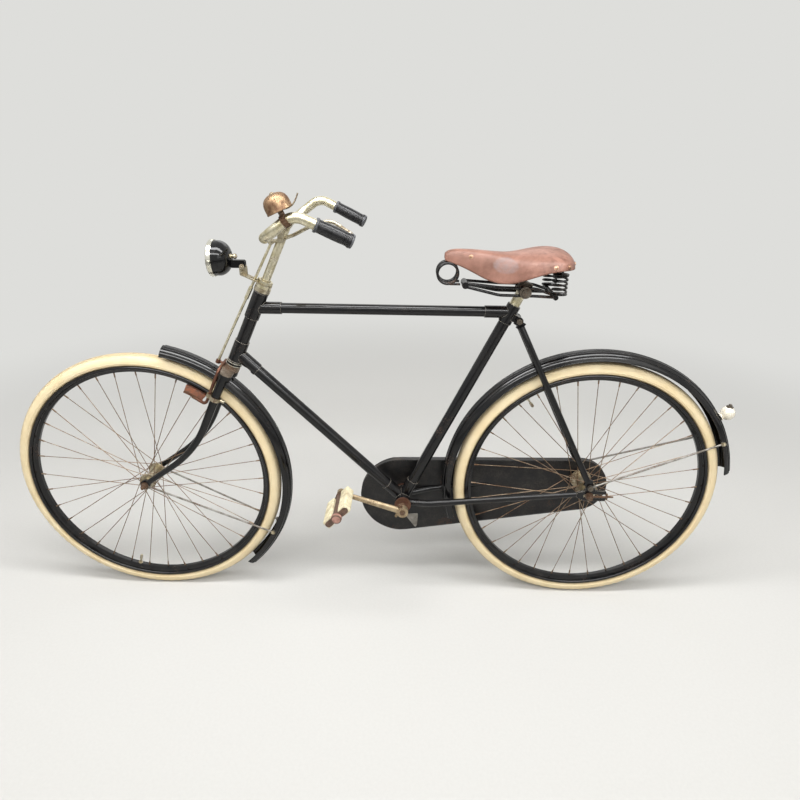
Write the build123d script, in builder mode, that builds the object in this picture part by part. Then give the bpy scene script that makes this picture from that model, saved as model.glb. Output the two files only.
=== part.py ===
"""Roadster bicycle with 28 inch wheels, rod brake, full chain case and sprung leather saddle.

Millimetres. +X points forward, +Y to the rider's left and +Z up. The origin is where the rider
sits, on top of the saddle in the middle plane. Places are named by how far they lie ahead of the
rear axle, left of the middle plane and above the ground, and spot() moves them to that origin.
"""

import os
from math import asin, cos, radians, sin, sqrt

from build123d import *

# Whole bicycle
wheelbase = 1178.0
tyre_radius = 354.0
tyre_width = 39.0
rider_ahead = 190.0
rider_height = 985.0
seat_gap = 0.3
braze_gap = 0.05
running_gap = 0.05

# Steering geometry, along and ahead of the steering axis, from the height of the axles
head_angle = 65.5
fork_rake = 96.0
head_tube_start = 372.0
head_tube_length = 196.0

# Frame geometry
bracket_ahead = 490.0
bracket_height = 300.0
seat_angle = 64.6
seat_tube_length = 606.0
top_tube_drop = 17.4
down_tube_joint = 23.0

# Frame tubes
head_tube_radius = 15.9
top_tube_radius = 12.7
main_tube_radius = 14.3
main_tube_wall = 1.6
steerer_radius = 12.7
lug_wall = 2.2
lug_reach = 48.0
lug_ring_height = 3.0
lug_ring_step = 0.8
chain_stay_radius = 9.5
seat_stay_radius = 8.0

# Bottom bracket and cranks
shell_radius = 20.0
shell_half_width = 34.0
shell_wall = 3.0
cup_rim_radius = 22.0
cup_rim_width = 6.0
crank_axle_radius = 8.0
crank_length = 170.0
crank_rise = 18.0
crank_boss_radius = 15.0
crank_thickness = 14.0
crank_inner = 62.0
pedal_eye_radius = 11.0
pedal_spindle_radius = 6.0
pedal_tilt = 45.0
pedal_gap = 9.0
pedal_plate_thickness = 3.0
pedal_block_length = 90.0
pedal_block_width = 27.0
pedal_block_height = 23.0
pedal_block_spread = 26.0
pedal_barrel_radius = 10.0
pedal_cap_radius = 13.0
pedal_cap_length = 9.0

# Rear end
dropout_plane = 58.0
dropout_thickness = 5.0
rear_axle_radius = 4.75
seat_stay_eye_ahead = 3.0
seat_stay_eye_rise = 29.0

# Wheels
rim_roll_radius = 4.0
rim_roll_centre = 319.5
rim_half_width = 15.5
rim_floor = 316.5
rim_wall = 2.5
rim_ridge = 305.5
spoke_radius = 1.0
nipple_radius = 2.0
nipple_length = 14.0
spoke_count = 36
flange_thickness = 2.5

# Mudguards
guard_radius = 384.0
guard_half_width = 25.0
guard_depth = 21.0
guard_wall = 1.0
guard_rib_radius = 2.2
guard_edge_radius = 1.6
stay_radius = 2.5

# Front end
fork_blade_offset = 7.0
fork_bend_height = 107.0
fork_bend_radius = 300.0
fork_crown_height = 334.0
fork_crown_depth = 18.0
blade_crown_spread = 40.0
blade_axle_spread = 47.0
blade_top_radius = 11.5
blade_end_radius = 7.0
front_axle_radius = 4.0
stem_radius = 10.0
stem_rise = 170.0
bar_radius = 11.2
grip_radius = 14.5
grip_ring_height = 1.2
grip_length = 84.0


def spot(ahead, left, above):
    """A place ahead of the rear axle, left of the middle plane and above the ground."""
    return Vector(ahead - rider_ahead, left, above - rider_height)


rear_hub = spot(0, 0, tyre_radius)
front_hub = spot(wheelbase, 0, tyre_radius)
bracket = spot(bracket_ahead, 0, bracket_height)

steer_forward = Vector(sin(radians(head_angle)), 0, cos(radians(head_angle)))
steer_up = Vector(-cos(radians(head_angle)), 0, sin(radians(head_angle)))
steer_foot = front_hub - Vector(fork_rake / sin(radians(head_angle)), 0, 0)
head_tube_end = head_tube_start + head_tube_length
top_tube_height = bracket_height + seat_tube_length * sin(radians(seat_angle)) - top_tube_drop

seat_up = Vector(-cos(radians(seat_angle)), 0, sin(radians(seat_angle)))
seat_forward = Vector(sin(radians(seat_angle)), 0, cos(radians(seat_angle)))


def steered(ahead, left, along):
    """A place ahead of the steering axis, left of it and along it from the height of the axles."""
    return steer_foot + steer_forward * ahead + Vector(0, left, 0) + steer_up * along


def across_steering(along, ahead=0.0, left=0.0):
    """The plane square to the steering axis at a place along it."""
    return Plane(origin=steered(ahead, left, along), x_dir=steer_forward, z_dir=steer_up)


def seated(ahead, left, along):
    """A place ahead of the seat tube's axis, left of it and along it from the bottom bracket."""
    return bracket + seat_forward * ahead + Vector(0, left, 0) + seat_up * along


def across_seat_tube(along):
    """The plane square to the seat tube at a place along it."""
    return Plane(origin=seated(0, 0, along), x_dir=seat_forward, z_dir=seat_up)


def sideways(place):
    """The plane at a place with its normal to the left, its x forward and its y down."""
    return Plane(origin=place, x_dir=(1, 0, 0), z_dir=(0, 1, 0))


def add_rod(start, end, radius, mode=Mode.ADD):
    """A round rod from start to end, in the piece being built."""
    with BuildSketch(Plane(origin=start, z_dir=end - start)) as section:
        Circle(radius)
    extrude(section.sketch, amount=(end - start).length, mode=mode)


def add_cone(start, end, start_radius, end_radius):
    """A round rod that tapers from start to end, in the piece being built."""
    with BuildSketch(Plane(origin=start, z_dir=end - start)) as first:
        Circle(start_radius)
    with BuildSketch(Plane(origin=end, z_dir=end - start)) as last:
        Circle(end_radius)
    loft([first.sketch, last.sketch])


def add_bent_rod(points, bends, radius, mode=Mode.ADD):
    """A round rod along straight runs joined by bends of the given radii."""
    with BuildLine() as route:
        FilletPolyline(*points, radius=bends)
    with BuildSketch(Plane(origin=route.line @ 0, z_dir=route.line % 0)) as section:
        Circle(radius)
    sweep(section.sketch, path=route.line, mode=mode)


def add_tapered_rod(points, bend, start_radius, end_radius, mode=Mode.ADD):
    """A round rod along straight runs joined by bends, which tapers from its start to its end."""
    with BuildLine() as route:
        FilletPolyline(*points, radius=bend)
    with BuildSketch(Plane(origin=route.line @ 0, z_dir=route.line % 0)) as first:
        Circle(start_radius)
    with BuildSketch(Plane(origin=route.line @ 1, z_dir=route.line % 1)) as last:
        Circle(end_radius)
    sweep([first.sketch, last.sketch], path=route.line, multisection=True, mode=mode)


def dome(base, rim_radius, crown):
    """The points of an arc from a rim to the crown on the axis, centred on that axis."""
    rise = crown - base
    radius = (rim_radius**2 + rise**2) / (2 * rise)
    half_angle = asin(rim_radius / radius) / 2
    return (rim_radius, base), (radius * sin(half_angle), crown - radius * (1 - cos(half_angle))), (0, crown)


def keep(piece, name):
    """Names a finished piece and writes it."""
    piece.part.label = name
    export_step(piece.part, f"parts/{name}.step")


os.makedirs("parts", exist_ok=True)

# Head tube, round the steerer
with BuildPart() as head_tube:
    with BuildSketch(across_steering(head_tube_start)):
        Circle(head_tube_radius)
        Circle(head_tube_radius - main_tube_wall, mode=Mode.SUBTRACT)
    extrude(amount=head_tube_length)
keep(head_tube, "head_tube")

# Where the frame tubes' axes meet
top_joint_along = (top_tube_height - tyre_radius) / sin(radians(head_angle))
top_joint = steered(0, 0, top_joint_along)
down_joint = steered(0, 0, head_tube_start + down_tube_joint)
seat_joint_along = (top_tube_height - bracket_height) / sin(radians(seat_angle))
seat_joint = seated(0, 0, seat_joint_along)
seat_tube_top = seated(0, 0, seat_tube_length)
down_direction = (down_joint - bracket).normalized()

# Top tube, mitred on the head tube and the seat tube
with BuildPart() as top_tube:
    add_rod(top_joint, seat_joint, top_tube_radius)
    add_rod(top_joint, seat_joint, top_tube_radius - main_tube_wall, mode=Mode.SUBTRACT)
    add_rod(steered(0, 0, head_tube_start), steered(0, 0, head_tube_end), head_tube_radius + braze_gap,
            mode=Mode.SUBTRACT)
    add_rod(seated(0, 0, 0), seated(0, 0, seat_tube_length + lug_reach), main_tube_radius + braze_gap,
            mode=Mode.SUBTRACT)
keep(top_tube, "top_tube")

# Down tube, mitred on the head tube and the bottom bracket shell
with BuildPart() as down_tube:
    add_rod(bracket, down_joint, main_tube_radius)
    add_rod(bracket, down_joint, main_tube_radius - main_tube_wall, mode=Mode.SUBTRACT)
    add_rod(steered(0, 0, head_tube_start - lug_reach), steered(0, 0, head_tube_end),
            head_tube_radius + braze_gap, mode=Mode.SUBTRACT)
    add_rod(bracket - Vector(0, shell_half_width, 0), bracket + Vector(0, shell_half_width, 0),
            shell_radius + braze_gap, mode=Mode.SUBTRACT)
keep(down_tube, "down_tube")

# Seat tube, which clears the down tube's mitre beside the shell
with BuildPart() as seat_tube:
    add_rod(seated(0, 0, 0), seat_tube_top, main_tube_radius)
    add_rod(seated(0, 0, 0), seat_tube_top, main_tube_radius - main_tube_wall, mode=Mode.SUBTRACT)
    add_rod(bracket - Vector(0, shell_half_width, 0), bracket + Vector(0, shell_half_width, 0),
            shell_radius + braze_gap, mode=Mode.SUBTRACT)
    add_rod(bracket, down_joint, main_tube_radius + braze_gap, mode=Mode.SUBTRACT)
keep(seat_tube, "seat_tube")

# Seat bolt, behind the seat tube, through the lug's ears and the seat stays' eyes
seat_bolt_back = 26.0
seat_bolt_along = seat_tube_length - 27.0
seat_bolt_radius = 4.0
seat_ear_half_width = 14.5
seat_ear_radius = 9.0
seat_bolt_place = seated(-seat_bolt_back, 0, seat_bolt_along)

# Frame lugs: two sleeves at the head tube and one at the top of the seat tube
with BuildPart() as frame_lugs:
    lug_top = lug_wall + head_tube_radius
    add_rod(steered(0, 0, head_tube_end - lug_reach * 1.5), steered(0, 0, head_tube_end), lug_top)
    add_rod(top_joint, top_joint - Vector(lug_reach + head_tube_radius, 0, 0), top_tube_radius + lug_wall)
    add_rod(steered(0, 0, head_tube_start), steered(0, 0, head_tube_start + lug_reach * 1.2), lug_top)
    for along in (head_tube_start, head_tube_end - lug_ring_height):
        add_rod(steered(0, 0, along), steered(0, 0, along + lug_ring_height), lug_top + lug_ring_step)
    add_rod(down_joint, down_joint - down_direction * (lug_reach + head_tube_radius),
            main_tube_radius + lug_wall)
    add_rod(seated(0, 0, seat_tube_length - lug_reach), seat_tube_top, main_tube_radius + lug_wall)
    add_rod(seat_joint, seat_joint + Vector(lug_reach + main_tube_radius, 0, 0), top_tube_radius + lug_wall)
    add_rod(seat_bolt_place - Vector(0, seat_ear_half_width, 0),
            seat_bolt_place + Vector(0, seat_ear_half_width, 0), seat_ear_radius)
    with BuildSketch(Plane(origin=seat_bolt_place - Vector(0, seat_ear_half_width, 0),
                           x_dir=seat_forward, z_dir=(0, 1, 0))):
        with Locations((seat_bolt_back / 2, 0)):
            Rectangle(seat_bolt_back, seat_ear_radius * 2)
    extrude(amount=seat_ear_half_width * 2)
    for start, end, radius in (
        (steered(0, 0, head_tube_start - lug_reach), steered(0, 0, head_tube_end + lug_reach), head_tube_radius),
        (top_joint, seat_joint, top_tube_radius),
        (bracket, down_joint, main_tube_radius),
        (bracket, seated(0, 0, seat_tube_length + lug_reach), main_tube_radius),
        (steered(0, 0, head_tube_start - lug_reach), steered(0, 0, head_tube_start), lug_reach),
        (seat_bolt_place - Vector(0, lug_reach, 0), seat_bolt_place + Vector(0, lug_reach, 0), seat_bolt_radius),
    ):
        add_rod(start, end, radius + braze_gap, mode=Mode.SUBTRACT)
keep(frame_lugs, "frame_lugs")

# Bottom bracket shell, with sockets for the down tube and the seat tube
socket_reach = 62.0
with BuildPart() as bottom_bracket_shell:
    shell_end = bracket - Vector(0, shell_half_width, 0)
    for direction in (down_direction, seat_up):
        add_rod(bracket, bracket + direction * socket_reach, main_tube_radius + lug_wall)
    for direction in (down_direction, seat_up):
        add_rod(bracket, bracket + direction * (socket_reach + 1), main_tube_radius + braze_gap,
                mode=Mode.SUBTRACT)
    add_rod(shell_end, shell_end + Vector(0, shell_half_width * 2, 0), shell_radius)
    add_rod(shell_end, shell_end + Vector(0, shell_half_width * 2, 0), shell_radius - shell_wall,
            mode=Mode.SUBTRACT)
keep(bottom_bracket_shell, "bottom_bracket_shell")

# Bottom bracket cups, screwed into the shell from both sides
with BuildPart() as bottom_bracket_cups:
    for side in (1, -1):
        face = bracket + Vector(0, side * shell_half_width, 0)
        outward = Vector(0, side, 0)
        add_rod(face + outward * seat_gap, face + outward * cup_rim_width, cup_rim_radius)
        add_rod(face - outward * cup_rim_width * 2, face + outward * cup_rim_width,
                shell_radius - shell_wall - braze_gap)
    add_rod(bracket - Vector(0, shell_half_width * 2, 0), bracket + Vector(0, shell_half_width * 2, 0),
            crank_axle_radius + running_gap, mode=Mode.SUBTRACT)
keep(bottom_bracket_cups, "bottom_bracket_cups")

# Chain stays, from the shell past the tyre to the dropouts
stay_rear_ahead = 34.0
stay_end_radius = 7.0
stay_end_rise = 3.0
stay_bend_radius = 150.0


def chain_stay_route(side):
    """The points of a chain stay's axis, from the shell to the dropout."""
    return [
        bracket + Vector(-12, side * 23, 0),
        bracket + Vector(-72, side * 38, 6),
        rear_hub + Vector(stay_rear_ahead + seat_gap, side * dropout_plane, stay_end_rise),
    ]


for side, name in ((1, "chain_stay_left"), (-1, "chain_stay_right")):
    with BuildPart() as chain_stay:
        add_tapered_rod(chain_stay_route(side), stay_bend_radius, chain_stay_radius, stay_end_radius)
        add_rod(bracket - Vector(0, shell_half_width, 0), bracket + Vector(0, shell_half_width, 0),
                shell_radius + braze_gap, mode=Mode.SUBTRACT)
        cup_face = bracket + Vector(0, side * shell_half_width, 0)
        add_rod(cup_face, cup_face + Vector(0, side * 2 * cup_rim_width, 0), cup_rim_radius + seat_gap,
                mode=Mode.SUBTRACT)
    keep(chain_stay, name)

# Seat stays, from the seat bolt past the mudguard to the bolts above the rear axle
seat_stay_eye_radius = 10.0
seat_stay_eye_thickness = 5.0
eye_plane = dropout_plane + dropout_thickness / 2 + seat_gap + seat_stay_eye_thickness / 2
for side, name in ((1, "seat_stay_left"), (-1, "seat_stay_right")):
    top_plane = side * (seat_ear_half_width + seat_gap + seat_stay_eye_thickness / 2)
    top_eye = seat_bolt_place + Vector(0, top_plane, 0)
    low_eye = rear_hub + Vector(seat_stay_eye_ahead, side * eye_plane, seat_stay_eye_rise)
    with BuildPart() as seat_stay:
        add_bent_rod(
            [
                top_eye + Vector(-6, side * 4, -14),
                top_eye + Vector(-21, side * 13, -44),
                low_eye + Vector(9, 0, 18),
            ],
            90,
            seat_stay_radius,
        )
        for eye in (top_eye, low_eye):
            half = Vector(0, seat_stay_eye_thickness / 2, 0)
            add_rod(eye - half, eye + half, seat_stay_eye_radius)
        with BuildSketch(sideways(low_eye - half)):
            with Locations(Location((5, -12), 60)):
                Rectangle(22, seat_stay_radius * 2)
        extrude(amount=seat_stay_eye_thickness)
        with BuildSketch(sideways(top_eye - half)):
            with Locations(Location((-5, 11), 60)):
                Rectangle(20, seat_stay_radius * 2)
        extrude(amount=seat_stay_eye_thickness)
        for eye in (top_eye, low_eye):
            add_rod(eye - Vector(0, 20, 0), eye + Vector(0, 20, 0), seat_bolt_radius + braze_gap,
                    mode=Mode.SUBTRACT)
    keep(seat_stay, name)

# Frame bolts: the seat bolt and the two bolts at the seat stays' lower eyes
bolt_head_radius = 7.5
bolt_head_height = 6.0
guard_eye_thickness = 2.4
low_bolt_reach = dropout_thickness / 2 + seat_stay_eye_thickness + guard_eye_thickness + 3 * seat_gap
with BuildPart() as frame_bolts:
    reach = seat_ear_half_width + seat_stay_eye_thickness + 2 * seat_gap
    add_rod(seat_bolt_place - Vector(0, reach, 0), seat_bolt_place + Vector(0, reach, 0), seat_bolt_radius)
    for side in (1, -1):
        with BuildSketch(Plane(origin=seat_bolt_place + Vector(0, side * reach, 0), z_dir=(0, side, 0))):
            RegularPolygon(bolt_head_radius, 6)
        extrude(amount=bolt_head_height)
        low_eye = rear_hub + Vector(seat_stay_eye_ahead, side * dropout_plane, seat_stay_eye_rise)
        out = Vector(0, side, 0)
        add_rod(low_eye - out * dropout_thickness / 2, low_eye + out * low_bolt_reach, seat_bolt_radius)
        with BuildSketch(Plane(origin=low_eye + out * low_bolt_reach, z_dir=(0, side, 0))):
            RegularPolygon(bolt_head_radius, 6)
        extrude(amount=bolt_head_height)
keep(frame_bolts, "frame_bolts")

# Rear dropouts: plates with a slot that opens to the rear and an ear for the seat stay
axle_slot_width = rear_axle_radius + 0.3
dropout_end = 44.0
with BuildPart() as rear_dropouts:
    for side in (1, -1):
        inner = rear_hub + Vector(0, side * dropout_plane - dropout_thickness / 2, 0)
        with BuildSketch(sideways(inner)):
            with BuildLine():
                FilletPolyline(
                    (stay_rear_ahead - 0.7, -10), (14, -14), (11, -40), (-6, -40), (-14, -17),
                    (-dropout_end, -15), (-dropout_end, 15), (12, 15), (stay_rear_ahead - 0.7, 5),
                    close=True, radius=4,
                )
            make_face()
            with Locations((seat_stay_eye_ahead, -seat_stay_eye_rise)):
                Circle(seat_bolt_radius + braze_gap, mode=Mode.SUBTRACT)
            with Locations((-15, 0)):
                SlotOverall(60, axle_slot_width * 2, mode=Mode.SUBTRACT)
        extrude(amount=dropout_thickness)
keep(rear_dropouts, "rear_dropouts")


def axle_with_nuts(hub, radius, half_length, plate_inner, plate_outer, shoulder, nut_radius, nut_height):
    """An axle that carries a wheel, with cones inside the plates that hold it and nuts outside."""
    with BuildPart() as axle:
        add_rod(hub - Vector(0, half_length, 0), hub + Vector(0, half_length, 0), radius)
        for side in (1, -1):
            out = Vector(0, side, 0)
            add_rod(hub + out * shoulder, hub + out * (plate_inner - seat_gap), radius * 2)
            add_rod(hub + out * (plate_outer + seat_gap), hub + out * (plate_outer + 2.0), nut_radius * 1.2)
            with BuildSketch(Plane(origin=hub + out * (plate_outer + 2.0), x_dir=(1, 0, 0), z_dir=(0, side, 0))):
                RegularPolygon(nut_radius, 6)
            extrude(amount=nut_height)
    return axle


# Wheels: name, axle's place, half barrel, left and right flange plane, spoke circle's radius,
# barrel radius, axle radius
wheels = (
    ("front", front_hub, 37.0, 30.0, 30.0, 19.0, 11.0, front_axle_radius),
    ("rear", rear_hub, 44.0, 32.0, 29.0, 25.0, 16.0, rear_axle_radius),
)

dropout_outer = dropout_plane + dropout_thickness / 2
rear_axle = axle_with_nuts(rear_hub, rear_axle_radius, 78.0, dropout_plane - dropout_thickness / 2, dropout_outer,
                           44.3, 9.0, 8.0)

# Chain adjusters: a rod behind each washer of the rear axle, with a cap against the dropout's end
adjuster_radius = 2.5
adjuster_length = 62.0
adjuster_left = dropout_outer + seat_gap + adjuster_radius
with rear_axle:
    for side in (1, -1):
        start = rear_hub + Vector(-rear_axle_radius * 2, side * adjuster_left, 0)
        add_rod(start, rear_hub + Vector(-adjuster_length, side * adjuster_left, 0), adjuster_radius)
        with BuildSketch(Plane(origin=rear_hub - Vector(dropout_end + seat_gap, 0, 0), x_dir=(0, 1, 0),
                               z_dir=(-1, 0, 0))) as cap:
            with Locations((side * (adjuster_left - 2.3), 0)):
                RectangleRounded(11, 17, 3)
        extrude(cap.sketch, amount=2.7)
keep(rear_axle, "rear_axle")

tab_half = 2.5
front_plates_outer = blade_axle_spread + tab_half + seat_gap + guard_eye_thickness
front_axle = axle_with_nuts(front_hub, front_axle_radius, 70.0, blade_axle_spread - tab_half,
                            front_plates_outer, 37.3, 8.0, 8.5)
keep(front_axle, "front_axle")

# Headset cups, pressed on both ends of the head tube
cup_radius = 19.5
cup_height = 10.0
with BuildPart() as headset_cups:
    for along, direction in ((head_tube_start, -1), (head_tube_end, 1)):
        start = steered(0, 0, along)
        add_rod(start + steer_up * direction * seat_gap, start + steer_up * direction * cup_height, cup_radius)
    add_rod(steered(0, 0, head_tube_start - 2 * cup_height), steered(0, 0, head_tube_end + 2 * cup_height),
            steerer_radius + 1.0, mode=Mode.SUBTRACT)
keep(headset_cups, "headset_cups")

# Fork crown with the steerer on it
crown_half_length = 15.0
with BuildPart() as fork_crown:
    with BuildSketch(across_steering(fork_crown_height, fork_blade_offset / 2)):
        RectangleRounded(2 * crown_half_length, 2 * (blade_crown_spread + blade_top_radius + 2.5), 13)
    extrude(amount=fork_crown_depth)
    crown_top = fork_crown_height + fork_crown_depth
    crown_foot = steered(fork_blade_offset / 2, 0, fork_crown_height)
    to_guard = (front_hub - crown_foot).normalized()
    guard_top = guard_radius + guard_rib_radius / 2
    boss_length = (front_hub - crown_foot).length - guard_top - seat_gap
    add_rod(crown_foot - to_guard * boss_length, crown_foot + to_guard * boss_length, 8.0)
    race_top = head_tube_start - cup_height - seat_gap
    add_rod(steered(0, 0, fork_crown_height), steered(0, 0, race_top), cup_radius - 1.0)
    add_rod(steered(0, 0, fork_crown_height), steered(0, 0, head_tube_end + 28.0), steerer_radius)
keep(fork_crown, "fork_crown")

# Fork blades, straight below the crown and bent forward to the axle
blade_end_gap = 10.5
for side, name in ((1, "fork_blade_left"), (-1, "fork_blade_right")):
    axle_place = front_hub + Vector(0, side * blade_axle_spread, 0)
    bend_left = side * (blade_crown_spread + blade_axle_spread) / 2
    bend_place = steered(fork_blade_offset, bend_left, fork_bend_height)
    with BuildPart() as fork_blade:
        add_tapered_rod(
            [
                steered(fork_blade_offset, side * blade_crown_spread, fork_crown_height - seat_gap),
                bend_place,
                axle_place + (bend_place - axle_place).normalized() * blade_end_gap,
            ],
            fork_bend_radius,
            blade_top_radius,
            blade_end_radius,
        )
        half = Vector(0, tab_half, 0)
        add_rod(axle_place - half, axle_place + half, 13.0)
        add_rod(axle_place - half * 6, axle_place + half * 6, front_axle_radius + seat_gap, mode=Mode.SUBTRACT)
    keep(fork_blade, name)

# Wheels: tyre, rim, hub and spokes laced across three on each flange
tyre_base = rim_floor + seat_gap
spoke_clear = flange_thickness / 2 + spoke_radius
crossing_pitches = 3
for name, hub, half_barrel, left_flange, right_flange, flange_radius, barrel_radius, bore in wheels:
    wheel_section = Plane(origin=hub, x_dir=(0, 0, 1), z_dir=(1, 0, 0))
    wheel_axis = Axis(hub, (0, 1, 0))
    with BuildPart() as tyre:
        with BuildSketch(wheel_section):
            shoulder = rim_roll_centre + rim_roll_radius + 1.8
            side_reach = sqrt((tyre_width / 2) ** 2 - (tyre_radius - tyre_width / 2 - shoulder) ** 2)
            bead = rim_half_width - rim_roll_radius - 0.6
            with BuildLine():
                ThreePointArc((shoulder, side_reach), (tyre_radius, 0), (shoulder, -side_reach))
                Polyline((shoulder, -side_reach), (shoulder - 1.2, -bead), (tyre_base, -bead), (tyre_base, bead),
                         (shoulder - 1.2, bead), (shoulder, side_reach))
            make_face()
        revolve(axis=wheel_axis)
    keep(tyre, f"{name}_tyre")

    with BuildPart() as rim:
        with BuildSketch(wheel_section):
            with BuildLine():
                edge = rim_half_width - 1.5
                well = rim_ridge + rim_wall
                Polyline(
                    (rim_floor, edge), (rim_floor - 1.5, 8), (well, 4), (well, -4), (rim_floor - 1.5, -8),
                    (rim_floor, -edge), (rim_floor - rim_wall, -edge), (rim_floor - rim_wall - 1.5, -9),
                    (rim_ridge, -5), (rim_ridge, 5), (rim_floor - rim_wall - 1.5, 9),
                    (rim_floor - rim_wall, edge), close=True,
                )
            make_face()
            with Locations((rim_roll_centre, rim_half_width), (rim_roll_centre, -rim_half_width)):
                Circle(rim_roll_radius)
        revolve(axis=wheel_axis)
    keep(rim, f"{name}_rim")

    with BuildPart() as hub_shell:
        left = Vector(0, 1, 0)
        add_rod(hub - left * half_barrel, hub + left * half_barrel, barrel_radius)
        for flange in (left_flange, -right_flange):
            add_rod(hub + left * (flange - flange_thickness / 2), hub + left * (flange + flange_thickness / 2),
                    flange_radius + 3.0)
        add_rod(hub - left * half_barrel, hub + left * half_barrel, bore + running_gap, mode=Mode.SUBTRACT)
    keep(hub_shell, f"{name}_hub")

    flange_pitch = 720.0 / spoke_count
    with BuildPart() as spoke_group:
        for flange, first in ((left_flange, 0.0), (-right_flange, flange_pitch / 2)):
            for start_angle, lean in ((first, 1), (first + flange_pitch, -1)):
                face = flange + lean * spoke_clear * (1 if flange > 0 else -1)
                end_angle = start_angle + lean * crossing_pitches * flange_pitch
                hub_end = Vector(flange_radius, 0, face).rotate(Axis.Z, start_angle)
                rim_end = Vector(rim_ridge + 1.0, 0, flange / 16).rotate(Axis.Z, end_angle)
                inward = (hub_end - rim_end).normalized()
                for start, end, radius in (
                    (hub_end, rim_end, spoke_radius),
                    (rim_end, rim_end + inward * nipple_length, nipple_radius),
                    (hub_end, Vector(hub_end.X, hub_end.Y, 2 * flange - face), spoke_radius),
                ):
                    with BuildSketch(Plane(origin=start, z_dir=end - start)):
                        RegularPolygon(radius, 6)
                    extrude(amount=(end - start).length)
    with BuildPart(Plane(origin=hub, x_dir=(1, 0, 0), z_dir=(0, 1, 0))) as spoke_set:
        with PolarLocations(0, spoke_count // 4):
            add(spoke_group.part)
    keep(spoke_set, f"{name}_spokes")

# Mudguards: name, wheel's hub, where the guard starts round the wheel and how far it runs
for name, hub, start_angle, span in (
    ("front_mudguard", front_hub, 227.0, 124.7),
    ("rear_mudguard", rear_hub, 172.0, 188.7),
):
    start_up = Vector(cos(radians(start_angle)), 0, sin(radians(start_angle)))
    with BuildPart() as guard:
        with BuildSketch(Plane(origin=hub, x_dir=start_up, z_dir=start_up.cross(Vector(0, 1, 0)))):
            low = guard_radius - guard_depth
            inner_half = guard_half_width - guard_wall
            with BuildLine():
                ThreePointArc((low, guard_half_width), (guard_radius, 0), (low, -guard_half_width))
                Line((low, -guard_half_width), (low, -inner_half))
                ThreePointArc((low, -inner_half), (guard_radius - guard_wall, 0), (low, inner_half))
                Line((low, inner_half), (low, guard_half_width))
            make_face()
            with Locations((guard_radius - guard_rib_radius / 2, 0)):
                Circle(guard_rib_radius)
            with Locations((low, guard_half_width - guard_edge_radius / 2),
                           (low, guard_edge_radius / 2 - guard_half_width)):
                Circle(guard_edge_radius)
        revolve(axis=Axis(hub, (0, 1, 0)), revolution_arc=span)
    keep(guard, name)

# Mudguard stays: from a flattened eye at the axle or the dropout's bolt to a bolt at the guard's edge
guard_bolt_radius = 4.0
guard_bolt_start = guard_half_width + guard_edge_radius / 2 + seat_gap
guard_bolt_left = guard_bolt_start + 3.0 + stay_radius
stay_eye_radius = 7.0
stay_eye_length = 15.0
front_eye_plane = front_plates_outer - guard_eye_thickness / 2
rear_eye_plane = dropout_plane + low_bolt_reach - seat_gap - guard_eye_thickness / 2
rear_eye_place = rear_hub + Vector(seat_stay_eye_ahead, 0, seat_stay_eye_rise)
for name, hub, edge_angle, eye_place, eye_left, bolt_radius in (
    ("front_mudguard_stays", front_hub, 205.5, front_hub, front_eye_plane, front_axle_radius),
    ("rear_mudguard_stays", rear_hub, 156.3, rear_eye_place, rear_eye_plane, seat_bolt_radius),
):
    edge_out = Vector(cos(radians(edge_angle)), 0, sin(radians(edge_angle)))
    edge_place = hub + edge_out * (guard_radius - guard_depth)
    with BuildPart() as guard_stays:
        for side in (1, -1):
            out = Vector(0, side, 0)
            eye = eye_place + out * eye_left
            edge = edge_place + out * guard_bolt_left
            flat = (edge_place - eye_place).normalized() * stay_eye_length
            half = out * guard_eye_thickness / 2
            add_rod(eye - half, eye + half, stay_eye_radius)
            with BuildSketch(Plane(origin=eye - half, x_dir=flat, z_dir=out)):
                with Locations((stay_eye_length / 2, 0)):
                    Rectangle(stay_eye_length, stay_radius * 2)
            extrude(amount=guard_eye_thickness)
            add_rod(eye + (edge - eye).normalized() * (stay_eye_length - 1), edge, stay_radius)
            add_rod(edge_place + out * guard_bolt_start, edge + out * stay_radius, guard_bolt_radius)
            add_rod(eye - half * 3, eye + half * 3, bolt_radius + braze_gap, mode=Mode.SUBTRACT)
    keep(guard_stays, name)

# Tail lamp on the rear mudguard: a ball on a flared foot, with a knob on top
tail_radius = 13.8
tail_reach = 405.5
tail_foot_radius = 9.0
tail_knob_radius = 3.5
tail_out = (spot(-341.4, 0, 573.5) - rear_hub).normalized()
tail_centre = rear_hub + tail_out * tail_reach
with BuildPart() as tail_lamp:
    base = rear_hub + tail_out * (guard_top + seat_gap)
    add_cone(base, tail_centre, tail_foot_radius, tail_radius - 1)
    with Locations(Location(tail_centre)):
        Sphere(tail_radius)
    add_rod(tail_centre, tail_centre + Vector(0, 0, tail_radius + 2 * tail_knob_radius), tail_knob_radius)
keep(tail_lamp, "tail_lamp")

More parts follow.
